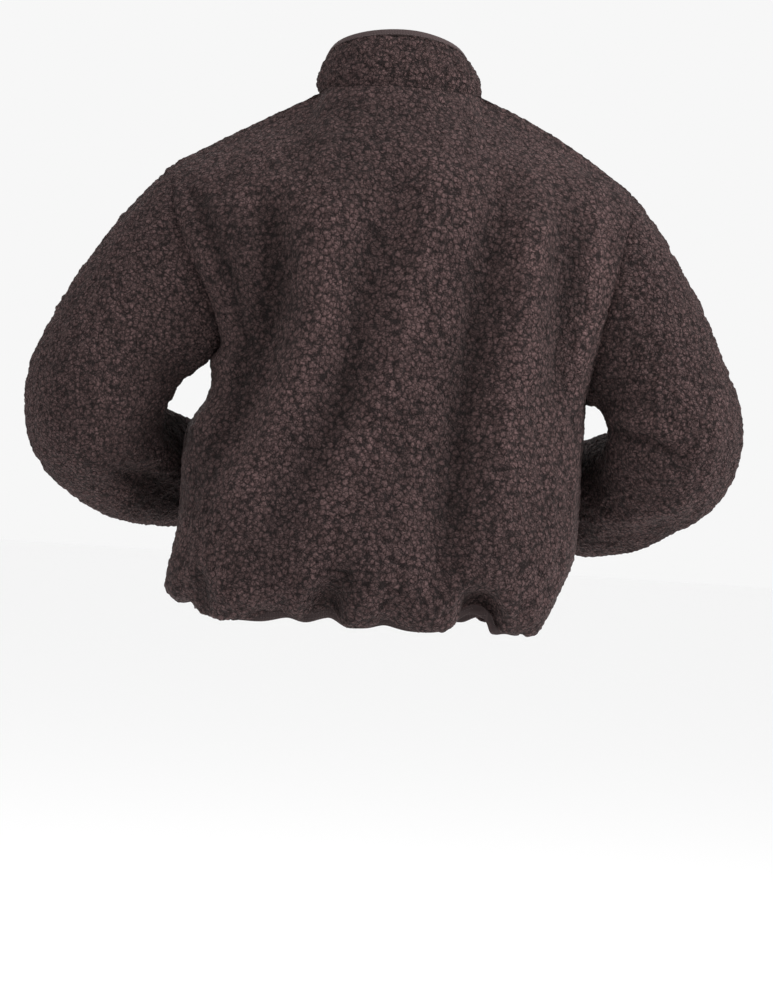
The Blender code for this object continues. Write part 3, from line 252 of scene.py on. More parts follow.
# Bindings and stitches
RIB_PITCH = 0.0017
RIB_DEPTH = 0.00030
STITCH_LENGTH = 0.0026
STITCH_GAP = 0.0010
STITCH_THICK = 0.0005
STITCH_TAPER = 0.5
STITCH_SINK = 0.0002
STITCH_SIDES = 8
STITCH_CUTS = 3
STITCH_LIFT = 0.2
STITCH_STEPS = (0.002, 0.012)
STITCH_WINDOW = 0.06
RAY_REACH = 0.4
BINDING_LAP = 0.0016
RING_LEVELS = 2
RING_BINS = 180
LONGEST_STEP = 4
Ring = namedtuple("Ring", "node piece axis width rows")
RINGS = (
    Ring("collar_binding", "collar_top_binding", (0.0, 0.0, 1.0), 0.010, (0.22,)),
    Ring("hem_binding", "hem_elastic_binding", (0.0, 0.0, 1.0), 0.013, (0.30, 0.62)),
    Ring("cuff_binding_left", "cuff_left_binding", None, 0.010, (0.5,)),
    Ring("cuff_binding_right", "cuff_right_binding", None, 0.010, (0.5,)),
)

# Zip
TOOTH_PITCH = 0.0029
TOOTH_SIZE = (0.0022, 0.0009, 0.0013)
TOOTH_BEVEL = 0.0002
TOOTH_NECK = 0.62
TOOTH_OFFSET = 0.00085
TOOTH_HEAD = 0.4
ROW_START = 0.001
ROW_SLOPE = 0.004
ROW_PARTS = 60
ROW_WINDOW = 0.018
STRIP_WIDTH = 0.0034
STRIP_BEHIND = 0.0006
TAPE_BEVEL = 0.0002
TAPE_SHARP = math.radians(50)

# Studio
CAMERA_PLACE = (-0.0126, 3.04, -0.443)
CAMERA_LENS = 100.0
CAMERA_ROLL = 3.6
SENSOR = 36.0
LAMP_AIM = (0.0, 0.0, -0.35)
Lamp = namedtuple("Lamp", "name setting place size")
LAMPS = (
    Lamp("key light", "key", (-2.6, 1.25, 1.0), 1.0),
    Lamp("top light", "top", (0.3, 1.2, 2.3), 1.2),
    Lamp("fill light", "fill", (2.4, 2.0, 0.2), 1.6),
    Lamp("front light", "front", (0.8, -2.9, 0.9), 1.4),
)
FLOOR_HEIGHT = -1.42
FLOOR_HALF = 40.0
FLOOR_EDGE = 0.5
FLOOR_SEGMENTS = 6


# Settings

class FleeceSettings(bpy.types.PropertyGroup):
    """Colours of the pile, of the painted shade in the cracks between its crumbs, and of its knit
    back.
    """
    tip: bpy.props.FloatVectorProperty(
        name="Tips", description="Colour of the pile's tips", subtype="COLOR", size=3,
        default=(0.080, 0.0485, 0.0475), min=0.0, max=1.0)
    # Painted shade: the dark colour in the cracks between the crumbs stands in for the shade that
    # falls there
    root: bpy.props.FloatVectorProperty(
        name="Crack_shade", description="Colour between the crumbs", subtype="COLOR", size=3,
        default=(0.011, 0.0075, 0.0075), min=0.0, max=1.0)
    back: bpy.props.FloatVectorProperty(
        name="Knit back", description="Colour of the inside", subtype="COLOR", size=3,
        default=(0.020, 0.014, 0.014), min=0.0, max=1.0)


class TrimSettings(bpy.types.PropertyGroup):
    """Colours of the bindings, their stitches, the zip's tape, teeth and metal."""
    binding: bpy.props.FloatVectorProperty(
        name="Binding", description="Colour of the knit binding", subtype="COLOR", size=3,
        default=(0.044, 0.029, 0.029), min=0.0, max=1.0)
    stitch: bpy.props.FloatVectorProperty(
        name="Stitches", description="Colour of the thread", subtype="COLOR", size=3,
        default=(0.060, 0.040, 0.039), min=0.0, max=1.0)
    tape: bpy.props.FloatVectorProperty(
        name="Tape", description="Colour of the zip's tape", subtype="COLOR", size=3,
        default=(0.030, 0.022, 0.022), min=0.0, max=1.0)
    teeth: bpy.props.FloatVectorProperty(
        name="Teeth", description="Colour of the zip's teeth", subtype="COLOR", size=3,
        default=(0.022, 0.017, 0.017), min=0.0, max=1.0)
    metal: bpy.props.FloatVectorProperty(
        name="Metal", description="Colour of the slider and its pull", subtype="COLOR", size=3,
        default=(0.060, 0.055, 0.055), min=0.0, max=1.0)


class StudioSettings(bpy.types.PropertyGroup):
    """Strength of the lights and colour of the floor."""
    world: bpy.props.FloatProperty(
        name="Surround", description="Strength of the light from all round", default=0.93, min=0.0)
    key: bpy.props.FloatProperty(
        name="Key light", description="Power of the light from the upper right", default=112.0,
        min=0.0, unit="POWER")
    top: bpy.props.FloatProperty(
        name="Top light", description="Power of the light from above", default=30.0,
        min=0.0, unit="POWER")
    fill: bpy.props.FloatProperty(
        name="Fill light", description="Power of the light from the left", default=20.0,
        min=0.0, unit="POWER")
    front: bpy.props.FloatProperty(
        name="Front light", description="Power of the light on the jacket's front", default=40.0,
        min=0.0, unit="POWER")
    floor: bpy.props.FloatVectorProperty(
        name="Floor", description="Colour of the floor", subtype="COLOR", size=3,
        default=(0.98, 0.98, 0.98), min=0.0, max=1.0)


# Materials

def new_material(name, colour, roughness, metallic=0.0, sheen=0.0, shine=0.5):
    """A plain Principled material, with its tree and shader."""
    material = bpy.data.materials.new(name)
    material.use_nodes = True
    tree = material.node_tree
    shader = tree.nodes["Principled BSDF"]
    shader.inputs["Base Color"].default_value = (*colour, 1.0)
    shader.inputs["Roughness"].default_value = roughness
    shader.inputs["Metallic"].default_value = metallic
    shader.inputs["Specular IOR Level"].default_value = shine
    shader.inputs["Sheen Weight"].default_value = sheen
    shader.inputs["Sheen Roughness"].default_value = SHEEN_ROUGHNESS
    shader.inputs["Sheen Tint"].default_value = SHEEN_TINT
    return material, tree, shader


def add(tree, kind, **values):
    """A node of a kind, with sockets or properties set by name."""
    node = tree.nodes.new(kind)
    for key, value in values.items():
        if key in node.inputs:
            node.inputs[key].default_value = value
        else:
            setattr(node, key, value)
    return node


def noise_on(tree, scale, detail):
    """A noise texture on the object's own coordinates."""
    places = add(tree, "ShaderNodeTexCoord")
    texture = add(tree, "ShaderNodeTexNoise", Scale=scale, Detail=detail)
    tree.links.new(places.outputs["Object"], texture.inputs["Vector"])
    return texture


def bump_from(tree, shader, heights):
    """Bumps one after another into the shader's normal, each (socket, distance, strength)."""
    before = None
    for socket, distance, strength in heights:
        bump = add(tree, "ShaderNodeBump", Distance=distance, Strength=strength)
        tree.links.new(socket, bump.inputs["Height"])
        if before is not None:
            tree.links.new(before.outputs["Normal"], bump.inputs["Normal"])
        before = bump
    tree.links.new(before.outputs["Normal"], shader.inputs["Normal"])


def blend_colours(tree, factor, first, second):
    """A mix of two colours, each a plain colour or a socket."""
    node = add(tree, "ShaderNodeMix", data_type="RGBA")
    tree.links.new(factor, node.inputs["Factor"])
    ends = [socket for socket in node.inputs if socket.type == "RGBA"]
    for socket, colour in zip(ends, (first, second)):
        if isinstance(colour, bpy.types.NodeSocket):
            tree.links.new(colour, socket)
        else:
            socket.default_value = (*colour, 1.0)
    return [socket for socket in node.outputs if socket.type == "RGBA"][0]


def spread(tree, socket, low, high):
    """A value stretched so that low gives 0 and high gives 1."""
    node = add(tree, "ShaderNodeMapRange")
    node.inputs["From Min"].default_value = low
    node.inputs["From Max"].default_value = high
    tree.links.new(socket, node.inputs["Value"])
    return node.outputs["Result"]


def warped_places(tree):
    """The object's own coordinates, pushed about by a soft noise."""
    places = add(tree, "ShaderNodeTexCoord")
    noise_node = noise_on(tree, WARP_SCALE, 1.0)
    centred = add(tree, "ShaderNodeVectorMath", operation="SUBTRACT")
    tree.links.new(noise_node.outputs["Color"], centred.inputs[0])
    centred.inputs[1].default_value = (0.5, 0.5, 0.5)
    scaled = add(tree, "ShaderNodeVectorMath", operation="SCALE", Scale=2 * CRACK_WARP)
    tree.links.new(centred.outputs["Vector"], scaled.inputs[0])
    moved = add(tree, "ShaderNodeVectorMath", operation="ADD")
    tree.links.new(places.outputs["Object"], moved.inputs[0])
    tree.links.new(scaled.outputs["Vector"], moved.inputs[1])
    return moved.outputs["Vector"]


def blend_values(tree, factor, first, second):
    """A mix of two value sockets."""
    node = add(tree, "ShaderNodeMix", data_type="FLOAT", Factor=factor)
    tree.links.new(first, node.inputs["A"])
    tree.links.new(second, node.inputs["B"])
    return node.outputs["Result"]


def crumb_cells(tree, places, scale):
    """Round crumbs of pile with cracks between them, 0 in the cracks."""
    edges = add(tree, "ShaderNodeTexVoronoi", feature="DISTANCE_TO_EDGE", Scale=scale)
    middles = add(tree, "ShaderNodeTexVoronoi", feature="F1", Scale=scale)
    for node in (edges, middles):
        tree.links.new(places, node.inputs["Vector"])
    crack = spread(tree, edges.outputs["Distance"], *CRACK_SPAN)
    round_top = spread(tree, middles.outputs["Distance"], *ROUND_SPAN)
    return blend_values(tree, ROUND_SHARE, crack, round_top)


def scaled_tone(tree, colour, socket, tone):
    """A colour times a factor, which runs with a value as a tone says."""
    value = spread(tree, socket, tone.low, tone.high)
    span = add(tree, "ShaderNodeMapRange")
    span.inputs["To Min"].default_value = tone.first
    span.inputs["To Max"].default_value = tone.last
    tree.links.new(value, span.inputs["Value"])
    scaled = add(tree, "ShaderNodeVectorMath", operation="SCALE")
    tree.links.new(colour, scaled.inputs[0])
    tree.links.new(span.outputs["Result"], scaled.inputs["Scale"])
    return scaled.outputs["Vector"]


def attribute(tree, name):
    """A stored value of the mesh."""
    return add(tree, "ShaderNodeAttribute", attribute_name=name).outputs["Fac"]


def fleece_material(name, crumb_size):
    """Curly pile: lighter crumbs with painted shade in the cracks between them and where they are
    low, painted shade in the creases' troughs and painted light on their ridges, fine curls and
    patches of nap.
    """
    settings = bpy.context.scene.jacket_fleece
    material, tree, shader = new_material(name, settings.tip, 0.95, sheen=0.04, shine=0.12)
    cells = crumb_cells(tree, warped_places(tree), 1 / crumb_size)
    curl = noise_on(tree, CURL_SCALE, 2.0).outputs["Fac"]
    nap = noise_on(tree, NAP_SCALE, 1.0).outputs["Fac"]
    # Painted shade: the cracks between the crumbs take the dark crack colour
    colour = blend_colours(tree, spread(tree, cells, *CRACK_SHADE_SPAN), settings.root, settings.tip)
    colour = scaled_tone(tree, colour, curl, CURL_TONE)
    # Painted shade where the crumbs are low, and a little painted light at their tops
    colour = scaled_tone(tree, colour, attribute(tree, "crumb"), CRUMB_SHADE_TONE)
    colour = scaled_tone(tree, colour, nap, NAP_TONE)
    # Painted shade in the creases' troughs and painted light on their ridges
    colour = scaled_tone(tree, colour, attribute(tree, "hollow"), FOLD_LIGHT_AND_SHADE_TONE)
    tree.links.new(colour, shader.inputs["Base Color"])
    bump_from(tree, shader, ((cells, CRACK_BUMP, 1.0), (curl, CURL_BUMP, CURL_STRENGTH)))
    return material


def knit_back_material():
    """The smooth knit inside of the fleece, with its fine wales."""
    settings = bpy.context.scene.jacket_fleece
    material, tree, shader = new_material("fleece_back", settings.back, 0.9, sheen=0.04, shine=0.15)
    grain = noise_on(tree, KNIT_SCALE, 1.0)
    bump_from(tree, shader, ((grain.outputs["Fac"], KNIT_BUMP, GRAIN_STRENGTH),))
    return material


def rib_material(name, colour):
    """Knit ribs that run across a strip, from the strip's own length, with painted shade in the
    grooves between them.
    """
    material, tree, shader = new_material(name, colour, 0.82, sheen=0.05, shine=0.25)
    turn = add(tree, "ShaderNodeMath", operation="MULTIPLY")
    tree.links.new(attribute(tree, "along"), turn.inputs[0])
    turn.inputs[1].default_value = 2 * math.pi / RIB_PITCH
    wave = add(tree, "ShaderNodeMath", operation="SINE")
    tree.links.new(turn.outputs["Value"], wave.inputs[0])
    height = spread(tree, wave.outputs["Value"], -1.0, 1.0)
    grain = noise_on(tree, RIB_SCALE, 1.0)
    # Painted shade: the colour is darker in the ribs' grooves
    groove_shade_colour = tuple(GROOVE_SHADE_SHARE * value for value in colour)
    tree.links.new(blend_colours(tree, height, groove_shade_colour, colour), shader.inputs["Base Color"])
    bump_from(tree, shader, (
        (height, RIB_DEPTH, RIB_STRENGTH), (grain.outputs["Fac"], RIB_BUMP, GRAIN_STRENGTH)))
    return material


def tape_material():
    """The zip's woven tape, with painted shade in the low parts of its weave."""
    colour = bpy.context.scene.jacket_trim.tape
    material, tree, shader = new_material("zip_tape_weave", colour, 0.85)
    places = add(tree, "ShaderNodeTexCoord")
    wave = add(tree, "ShaderNodeTexWave", bands_direction="Z", Scale=WEAVE_SCALE,
               Distortion=WEAVE_WARP)
    tree.links.new(places.outputs["Object"], wave.inputs["Vector"])
    weave = wave.outputs["Fac"]
    # Painted shade: the colour is darker in the weave's low parts
    groove_shade_colour = tuple(GROOVE_SHADE_SHARE * value for value in colour)
    tree.links.new(blend_colours(tree, weave, groove_shade_colour, colour), shader.inputs["Base Color"])
    bump_from(tree, shader, ((weave, WEAVE_BUMP, WEAVE_STRENGTH),))
    return material


def metal_material():
    """Painted metal with a faint unevenness."""
    colour = bpy.context.scene.jacket_trim.metal
    material, tree, shader = new_material("zip_metal_paint", colour, 0.36, metallic=0.9)
    grain = noise_on(tree, METAL_SCALE, 2.0)
    rough = add(tree, "ShaderNodeMapRange")
    rough.inputs["To Min"].default_value = METAL_ROUGHNESS[0]
    rough.inputs["To Max"].default_value = METAL_ROUGHNESS[1]
    tree.links.new(grain.outputs["Fac"], rough.inputs["Value"])
    tree.links.new(rough.outputs["Result"], shader.inputs["Roughness"])
    return material


# Meshes

def start_clean():
    """Select nothing."""
    bpy.ops.object.select_all(action="DESELECT")


def linked(name, mesh):
    """A new object in the scene that shows a mesh."""
    piece = bpy.data.objects.new(name, mesh)
    bpy.context.scene.collection.objects.link(piece)
    return piece


def apply_all(piece):
    """Apply a piece's modifiers in order."""
    start_clean()
    bpy.context.view_layer.objects.active = piece
    piece.select_set(True)
    for modifier in list(piece.modifiers):
        bpy.ops.object.modifier_apply(modifier=modifier.name)
    start_clean()


def welded_copy(node, name):
    """A copy of a CAD node with its corners joined and its triangles paired."""
    mesh = NODES[node].data.copy()
    mesh.materials.clear()
    bm = bmesh.new()
    bm.from_mesh(mesh)
    bmesh.ops.remove_doubles(bm, verts=bm.verts, dist=WELD)
    bmesh.ops.join_triangles(
        bm, faces=bm.faces, angle_face_threshold=PAIR_ANGLE, angle_shape_threshold=PAIR_ANGLE)
    bm.to_mesh(mesh)
    bm.free()
    mesh.name = name
    return linked(name, mesh)


def split_sides(bm):
    """Number the faces of a wall of cloth by its outer side, edges and inside."""
    bm.normal_update()
    tree = BVHTree.FromBMesh(bm)
    edge_faces = set()
    for face in bm.faces:
        face.material_index = RIM
        start = face.calc_center_median() - face.normal * RIM_START
        _, facing, _, _ = tree.ray_cast(start, -face.normal, WALL_REACH)
        if facing is None or facing.dot(face.normal) > OPPOSITE:
            edge_faces.add(face)
    regions = []
    seen = set(edge_faces)
    for face in bm.faces:
        if face in seen:
            continue
        region = [face]
        seen.add(face)
        for current in region:
            beside = {other for edge in current.edges if edge.calc_face_angle(math.pi) < SHARP
                      for other in edge.link_faces}
            region.extend(beside - seen)
            seen |= beside
        regions.append(region)
    regions.sort(key=lambda faces: -sum(face.calc_area() for face in faces))
    if len(regions) < 2:
        raise RuntimeError("the wall of cloth has no separate inner and outer side")
    sides = {}
    for number, region in zip((OUTER, INNER), regions):
        sides[number] = {vert for face in region for vert in face.verts}
        for face in region:
            face.material_index = number
    for face in edge_faces.union(*regions[2:]):
        touched = [number for number in sides if not sides[number].isdisjoint(face.verts)]
        if len(touched) == 1:
            face.material_index = touched[0]


def vertex_array(mesh):
    """The places of a mesh's corners, one a row."""
    places = np.empty(3 * len(mesh.vertices))
    mesh.vertices.foreach_get("co", places)
    return places.reshape(-1, 3)


def subdivided(piece, levels):
    """The piece's subdivided mesh, for now only worked out and not kept."""
    for modifier in list(piece.modifiers):
        piece.modifiers.remove(modifier)
    modifier = piece.modifiers.new("Smooth", "SUBSURF")
    modifier.levels = levels
    modifier.boundary_smooth = "ALL"
    bpy.context.view_layer.update()
    return piece.evaluated_get(bpy.context.evaluated_depsgraph_get())


def smooth_through(piece, levels):
    """Subdivide the piece so that its smooth surface still passes through its corners."""
    wanted = vertex_array(piece.data)
    cage = wanted.copy()
    for _ in range(FIT_ROUNDS):
        result = subdivided(piece, FIT_LEVELS).to_mesh()
        reached = vertex_array(result)[:len(wanted)]
        cage += wanted - reached
        piece.data.vertices.foreach_set("co", cage.ravel())
        piece.data.update()
    subdivided(piece, levels)
    apply_all(piece)


def path_share(places, path, width):
    """How strongly a path of x, z places acts at each place, fading at its ends."""
    flat = places[:, (0, 2)]
    path = np.array(path)
    lengths = np.linalg.norm(np.diff(path, axis=0), axis=1)
    along = np.concatenate(([0], np.cumsum(lengths)))
    nearest = np.full(len(flat), np.inf)
    place = np.zeros(len(flat))
    for k, length in enumerate(lengths):
        step = path[k + 1] - path[k]
        t = np.clip(((flat - path[k]) @ step) / length ** 2, 0, 1)
        distance = np.linalg.norm(flat - (path[k] + t[:, None] * step), axis=1)
        closer = distance < nearest
        nearest = np.where(closer, distance, nearest)
        place = np.where(closer, along[k] + t * length, place)
    ends = np.clip(np.minimum(place, along[-1] - place) / (PATH_FADE * along[-1]), 0, 1)
    strength = PATH_END_SHARE + (1 - PATH_END_SHARE) * ends * (2 - ends)
    return np.exp(-(nearest / width) ** 2) * strength


def crease_depth(places, normals):
    """How far every listed crease moves each place."""
    total = np.zeros(len(places))
    for crease in CREASES:
        facing = np.clip(crease.side * normals[:, 1] * FACING_GAIN + FACING_SHARE, 0, 1)
        total += crease.depth * path_share(places, crease.path, crease.width) * facing
    ahead = np.clip(-normals[:, 1] * AHEAD_GAIN - AHEAD_START, 0, 1) * (places[:, 2] < 0)
    beside = np.exp(-((np.abs(places[:, 0]) - ZIP_TROUGH_X) / ZIP_TROUGH_WIDTH) ** 2)
    return total - ZIP_TROUGH_DEPTH * beside * ahead


def creases_at(places, normals, edge):
    """The creases' moves, limited, and fading out near the cloth's edges."""
    moves = np.clip(crease_depth(places, normals), -DEEPEST, HIGHEST)
    return moves * np.clip(edge / EDGE_CALM, 0, 1)


def crumb_heights(places, size, seed):
    """Round crumbs of pile, 1 at the middle of each and near 0 between them."""
    out = np.empty(len(places))
    shift = Vector((seed, 2.7 * seed, 4.1 * seed))
    for k, place in enumerate(places):
        distances, _ = noise.voronoi(Vector(place) / size + shift)
        out[k] = distances[0]
    return np.clip(CRUMB_TOP - CRUMB_DROP * out ** CRUMB_POWER, 0, 1)


def loose_heights(places, scale, seed):
    """Soft noise, from about -1 to 1."""
    shift = Vector((seed, seed, seed))
    return np.array([noise.noise(Vector(place) * scale + shift) for place in places])


def pile_up(piece, large_crumbs):
    """Press the creases in and raise the pile on the outer side, and store its heights and the
    creases' depths, which paint shade into the pile's colour low between the crumbs and in troughs,
    and light on ridges.
    """
    mesh = piece.data
    places = vertex_array(mesh)
    normals = np.array([vertex.normal for vertex in mesh.vertices])
    sides = np.zeros((len(places), 3), bool)
    for polygon in mesh.polygons:
        sides[list(polygon.vertices), polygon.material_index] = True
    outer = sides[:, OUTER]
    rim = sides[:, RIM] & outer
    tree = kdtree.KDTree(int(rim.sum()))
    for place in places[rim]:
        tree.insert(place, 0)
    tree.balance()
    inner = np.nonzero(sides[:, INNER] & ~outer)[0]
    within = np.array([tree.find(place)[2] for place in places[inner]])
    pressed = creases_at(places[inner], -normals[inner], within)
    places[inner] -= normals[inner] * pressed[:, None]
    at = np.nonzero(outer)[0]
    edge = np.array([tree.find(place)[2] for place in places[at]])
    small = crumb_heights(places[at], SMALL_CRUMB, SEEDS["small"])
    fine = crumb_heights(places[at], FINE_CRUMB, SEEDS["fine"])
    share = np.zeros(len(at))
    if large_crumbs:
        low = np.clip((LARGE_START - places[at, 2]) / LARGE_SPAN, 0, 1)
        middle = np.exp(-(places[at, 0] / LARGE_HALF_WIDTH) ** 2)
        share = low * middle
        large = crumb_heights(places[at], LARGE_CRUMB, SEEDS["large"])
        small = small * (1 - share) + large * share
    loose = loose_heights(places[at], LOOSE_SCALE, SEEDS["loose"])
    tufts = loose_heights(places[at], TUFT_SCALE, SEEDS["tuft"])
    heights = SMALL_SHARE * small + FINE_SHARE * fine
    relief = PILE_RELIEF * (1 + LARGE_MORE * share)
    move = relief * (heights - 1) + PILE_LIFT
    move += creases_at(places[at], normals[at], edge)
    calm = np.clip(edge / TUFT_CALM, 0, 1)
    move += (LOOSE_RELIEF * loose + TUFT_RELIEF * tufts) * calm
    move -= SEAM_SINK * np.exp(-(edge / SEAM_REACH) ** 2)
    places[at] += normals[at] * move[:, None]
    mesh.vertices.foreach_set("co", places.ravel())
    # The creases' depths, kept for the painted shade in troughs and painted light on ridges
    hollow = -crease_depth(places[at], normals[at]) / FULL_FOLD_SHADE_DEPTH
    for name, part in (("crumb", heights), ("hollow", hollow)):
        stored = mesh.attributes.new(name, "FLOAT", "POINT")
        values = np.zeros(len(places))
        values[at] = part
        stored.data.foreach_set("value", values)
    mesh.update()


def dress_fleece(cut, materials):
    """One piece of fleece: smoothed, cut finer on its outer side, creased and piled."""
    piece = welded_copy(cut.node, cut.piece)
    mesh = piece.data
    for material in materials:
        mesh.materials.append(material)
    bm = bmesh.new()
    bm.from_mesh(mesh)
    split_sides(bm)
    for vert in bm.verts:
        rims = [face.normal for face in vert.link_faces if face.material_index == RIM]
        if rims:
            vert.co += sum(rims, Vector()).normalized() * SEAM_CLOSE
    sharp = bm.edges.layers.float.get("crease_edge") or bm.edges.layers.float.new("crease_edge")
    for edge in bm.edges:
        kinds = {face.material_index for face in edge.link_faces}
        if len(kinds) > 1:
            edge[sharp] = 1.0
    bm.to_mesh(mesh)
    bm.free()
    smooth_through(piece, cut.levels)
    bm = bmesh.new()
    bm.from_mesh(mesh)
    finer = {edge for face in bm.faces if face.material_index == OUTER
             for edge in face.edges}
    bmesh.ops.subdivide_edges(bm, edges=list(finer), cuts=cut.cuts, use_grid_fill=True)
    bm.to_mesh(mesh)
    bm.free()
    mesh.shade_smooth()
    pile_up(piece, cut.large_crumbs)
    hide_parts(cut.node)
    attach(piece, BODY)


def mixed(low, high, share):
    """The value at a share of the way from low to high."""
    return low + (high - low) * share


# Rings of binding

def ring_frame(ring):
    """A ring's centre, axis and the two directions square to it."""
    places = vertex_array(NODES[ring.node].data)
    if ring.axis is None:
        centre = places.mean(axis=0)
        axis = np.linalg.svd(places - centre, full_matrices=False)[2][2]
    else:
        centre = np.zeros(3)
        axis = np.array(ring.axis)
    first = np.cross(axis, (0.0, 1.0, 0.0) if abs(axis[1]) < 0.9 else (1.0, 0.0, 0.0))
    first = first / np.linalg.norm(first)
    return centre, axis, first, np.cross(axis, first)


def ring_angles(places, settings):
    """The angle of each place round a ring's axis."""
    centre, _, first, second = settings
    offsets = places - centre
    return np.arctan2(offsets @ second, offsets @ first)


def ring_lengths(places, settings):
    """A ring's mean line: its angles, the length round it at each of them and its places."""
    turns = (ring_angles(places, settings) + math.pi) / (2 * math.pi)
    order = np.clip((turns * RING_BINS).astype(int), 0, RING_BINS - 1)
    sums = np.zeros((RING_BINS, 3))
    counts = np.zeros(RING_BINS)
    np.add.at(sums, order, places)
    np.add.at(counts, order, 1)
    filled = np.nonzero(counts)[0]
    line = sums[filled] / counts[filled][:, None]
    steps = np.linalg.norm(np.diff(line, axis=0), axis=1)
    steps = np.minimum(steps, LONGEST_STEP * np.median(steps))
    along = np.concatenate(([0], np.cumsum(steps)))
    middles = (filled + 0.5) / RING_BINS * 2 * math.pi - math.pi
    return middles, along, line


def dress_ring(ring, material):
    """A binding: rounded, with its length stored for its ribs."""
    piece = welded_copy(ring.node, ring.piece)
    piece.data.materials.append(material)
    smooth_through(piece, RING_LEVELS)
    piece.data.shade_smooth()
    settings = ring_frame(ring)
    places = vertex_array(piece.data)
    middles, along, line = ring_lengths(vertex_array(NODES[ring.node].data), settings)
    angles = ring_angles(places, settings)
    centre, axis = settings[:2]
    over = (places - centre) @ axis - np.interp(angles, middles, (line - centre) @ axis)
    if ring.node == "hem_binding":
        places += axis * (BINDING_LAP * np.clip(over / over.max(), 0, 1))[:, None]
        piece.data.vertices.foreach_set("co", places.ravel())
    values = np.interp(angles, middles, along)
    stored = piece.data.attributes.new("along", "FLOAT", "POINT")
    stored.data.foreach_set("value", values)
    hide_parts(ring.node)
    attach(piece, BODY)
    return piece


def edited(piece, change):
    """Shape a piece in edit mode with a change made to its mesh."""
    start_clean()
    bpy.context.view_layer.objects.active = piece
    piece.select_set(True)
    bpy.ops.object.mode_set(mode="EDIT")
    change(bmesh.from_edit_mesh(piece.data))
    bmesh.update_edit_mesh(piece.data)
    bpy.ops.object.mode_set(mode="OBJECT")


def copied(piece, matrices, name):
    """One mesh that holds a copy of a small piece at every place; the piece is removed."""
    bm = bmesh.new()
    for matrix in matrices:
        before = len(bm.verts)
        bm.from_mesh(piece.data)
        bm.verts.ensure_lookup_table()
        bmesh.ops.transform(bm, matrix=matrix, verts=bm.verts[before:])
    mesh = bpy.data.meshes.new(name)
    bm.to_mesh(mesh)
    bm.free()
    bpy.data.objects.remove(piece)
    mesh.shade_smooth()
    return mesh


def one_stitch():
    """A stitch of thread along its own Z, slimmer and pulled down at its two ends."""
    start_clean()
    bpy.ops.mesh.primitive_cylinder_add(
        vertices=STITCH_SIDES, radius=0.5 * STITCH_THICK, depth=STITCH_LENGTH, location=(0, 0, 0))
    stitch = bpy.context.object

    def taper(bm):
        along = [edge for edge in bm.edges if edge.calc_length() > 0.5 * STITCH_LENGTH]
        bmesh.ops.subdivide_edges(bm, edges=along, cuts=STITCH_CUTS)
        for vert in bm.verts:
            reach = abs(vert.co.z) / (0.5 * STITCH_LENGTH)
            slim = 1 - STITCH_TAPER * reach ** 4
            vert.co.x *= slim
            vert.co.y = vert.co.y * slim - STITCH_SINK * reach ** 2

    edited(stitch, taper)
    return stitch


def ring_stitches(ring, piece, material):
    """Rows of stitches round a binding, set on its outer face."""
    settings = ring_frame(ring)
    centre, axis, first, second = settings
    tree = BVHTree.FromObject(piece, bpy.context.evaluated_depsgraph_get())
    places = vertex_array(piece.data)
    angles = ring_angles(places, settings)
    heights = (places - centre) @ axis
    middles, along, _ = ring_lengths(places, settings)
    total = along[-1]
    count = int(total / (STITCH_LENGTH + STITCH_GAP))
    frames = []
    for row in ring.rows:
        hits = []
        for k in range(count):
            angle = np.interp((k + 0.5) / count * total, along, middles)
            apart = np.abs((angles - angle + math.pi) % (2 * math.pi) - math.pi)
            near = apart < STITCH_WINDOW
            if not near.any():
                continue
            low, high = heights[near].min(), heights[near].max()
            way = first * math.cos(angle) + second * math.sin(angle)
            start = centre + axis * mixed(low, high, row) + way * RAY_REACH
            hit = tree.ray_cast(Vector(start), Vector(-way))
            if hit[0] is not None:
                hits.append((np.array(hit[0]), np.array(hit[1])))
        for (before, _), (here, up), (after, _) in zip(hits, hits[1:], hits[2:]):
            way = after - before
            length = np.linalg.norm(way)
            if STITCH_STEPS[0] < length < STITCH_STEPS[1]:
                way = way / length
                up = up - way * (up @ way)
                up = up / np.linalg.norm(up)
                turned = Matrix((np.cross(up, way), up, way)).transposed()
                place = Vector(here + up * STITCH_LIFT * STITCH_THICK)
                frames.append(Matrix.Translation(place) @ turned.to_4x4())
    name = ring.piece + "_stitches"
    stitches = linked(name, copied(one_stitch(), frames, name))
    stitches.data.materials.append(material)
    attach(stitches, BODY)
    return stitches


# Operators

class JACKET_OT_fleece(bpy.types.Operator):
    """Dress the six pieces of fleece"""
    bl_idname = "jacket.fleece"
    bl_label = "Fleece"

    def execute(self, context):
        small = fleece_material("fleece_pile", SMALL_CELL)
        large = fleece_material("fleece_pile_back", LARGE_CELL)
        inside = knit_back_material()
        for cut in CUTS:
            pile = large if cut.large_crumbs else small
            dress_fleece(cut, (pile, pile, inside))
        return {"FINISHED"}


class JACKET_OT_bindings(bpy.types.Operator):
    """Dress the bindings of collar, hem and cuffs, with their stitches"""
    bl_idname = "jacket.bindings"
    bl_label = "Bindings"

    def execute(self, context):
        trim = context.scene.jacket_trim
        ribs = rib_material("binding_rib", trim.binding)
        thread = new_material("binding_thread", trim.stitch, 0.6)[0]
        for ring in RINGS:
            piece = dress_ring(ring, ribs)
            stitches = ring_stitches(ring, piece, thread)
            places = vertex_array(NODES[ring.node].data)
            size = ring_lengths(places, ring_frame(ring))[1][-1]
        return {"FINISHED"}


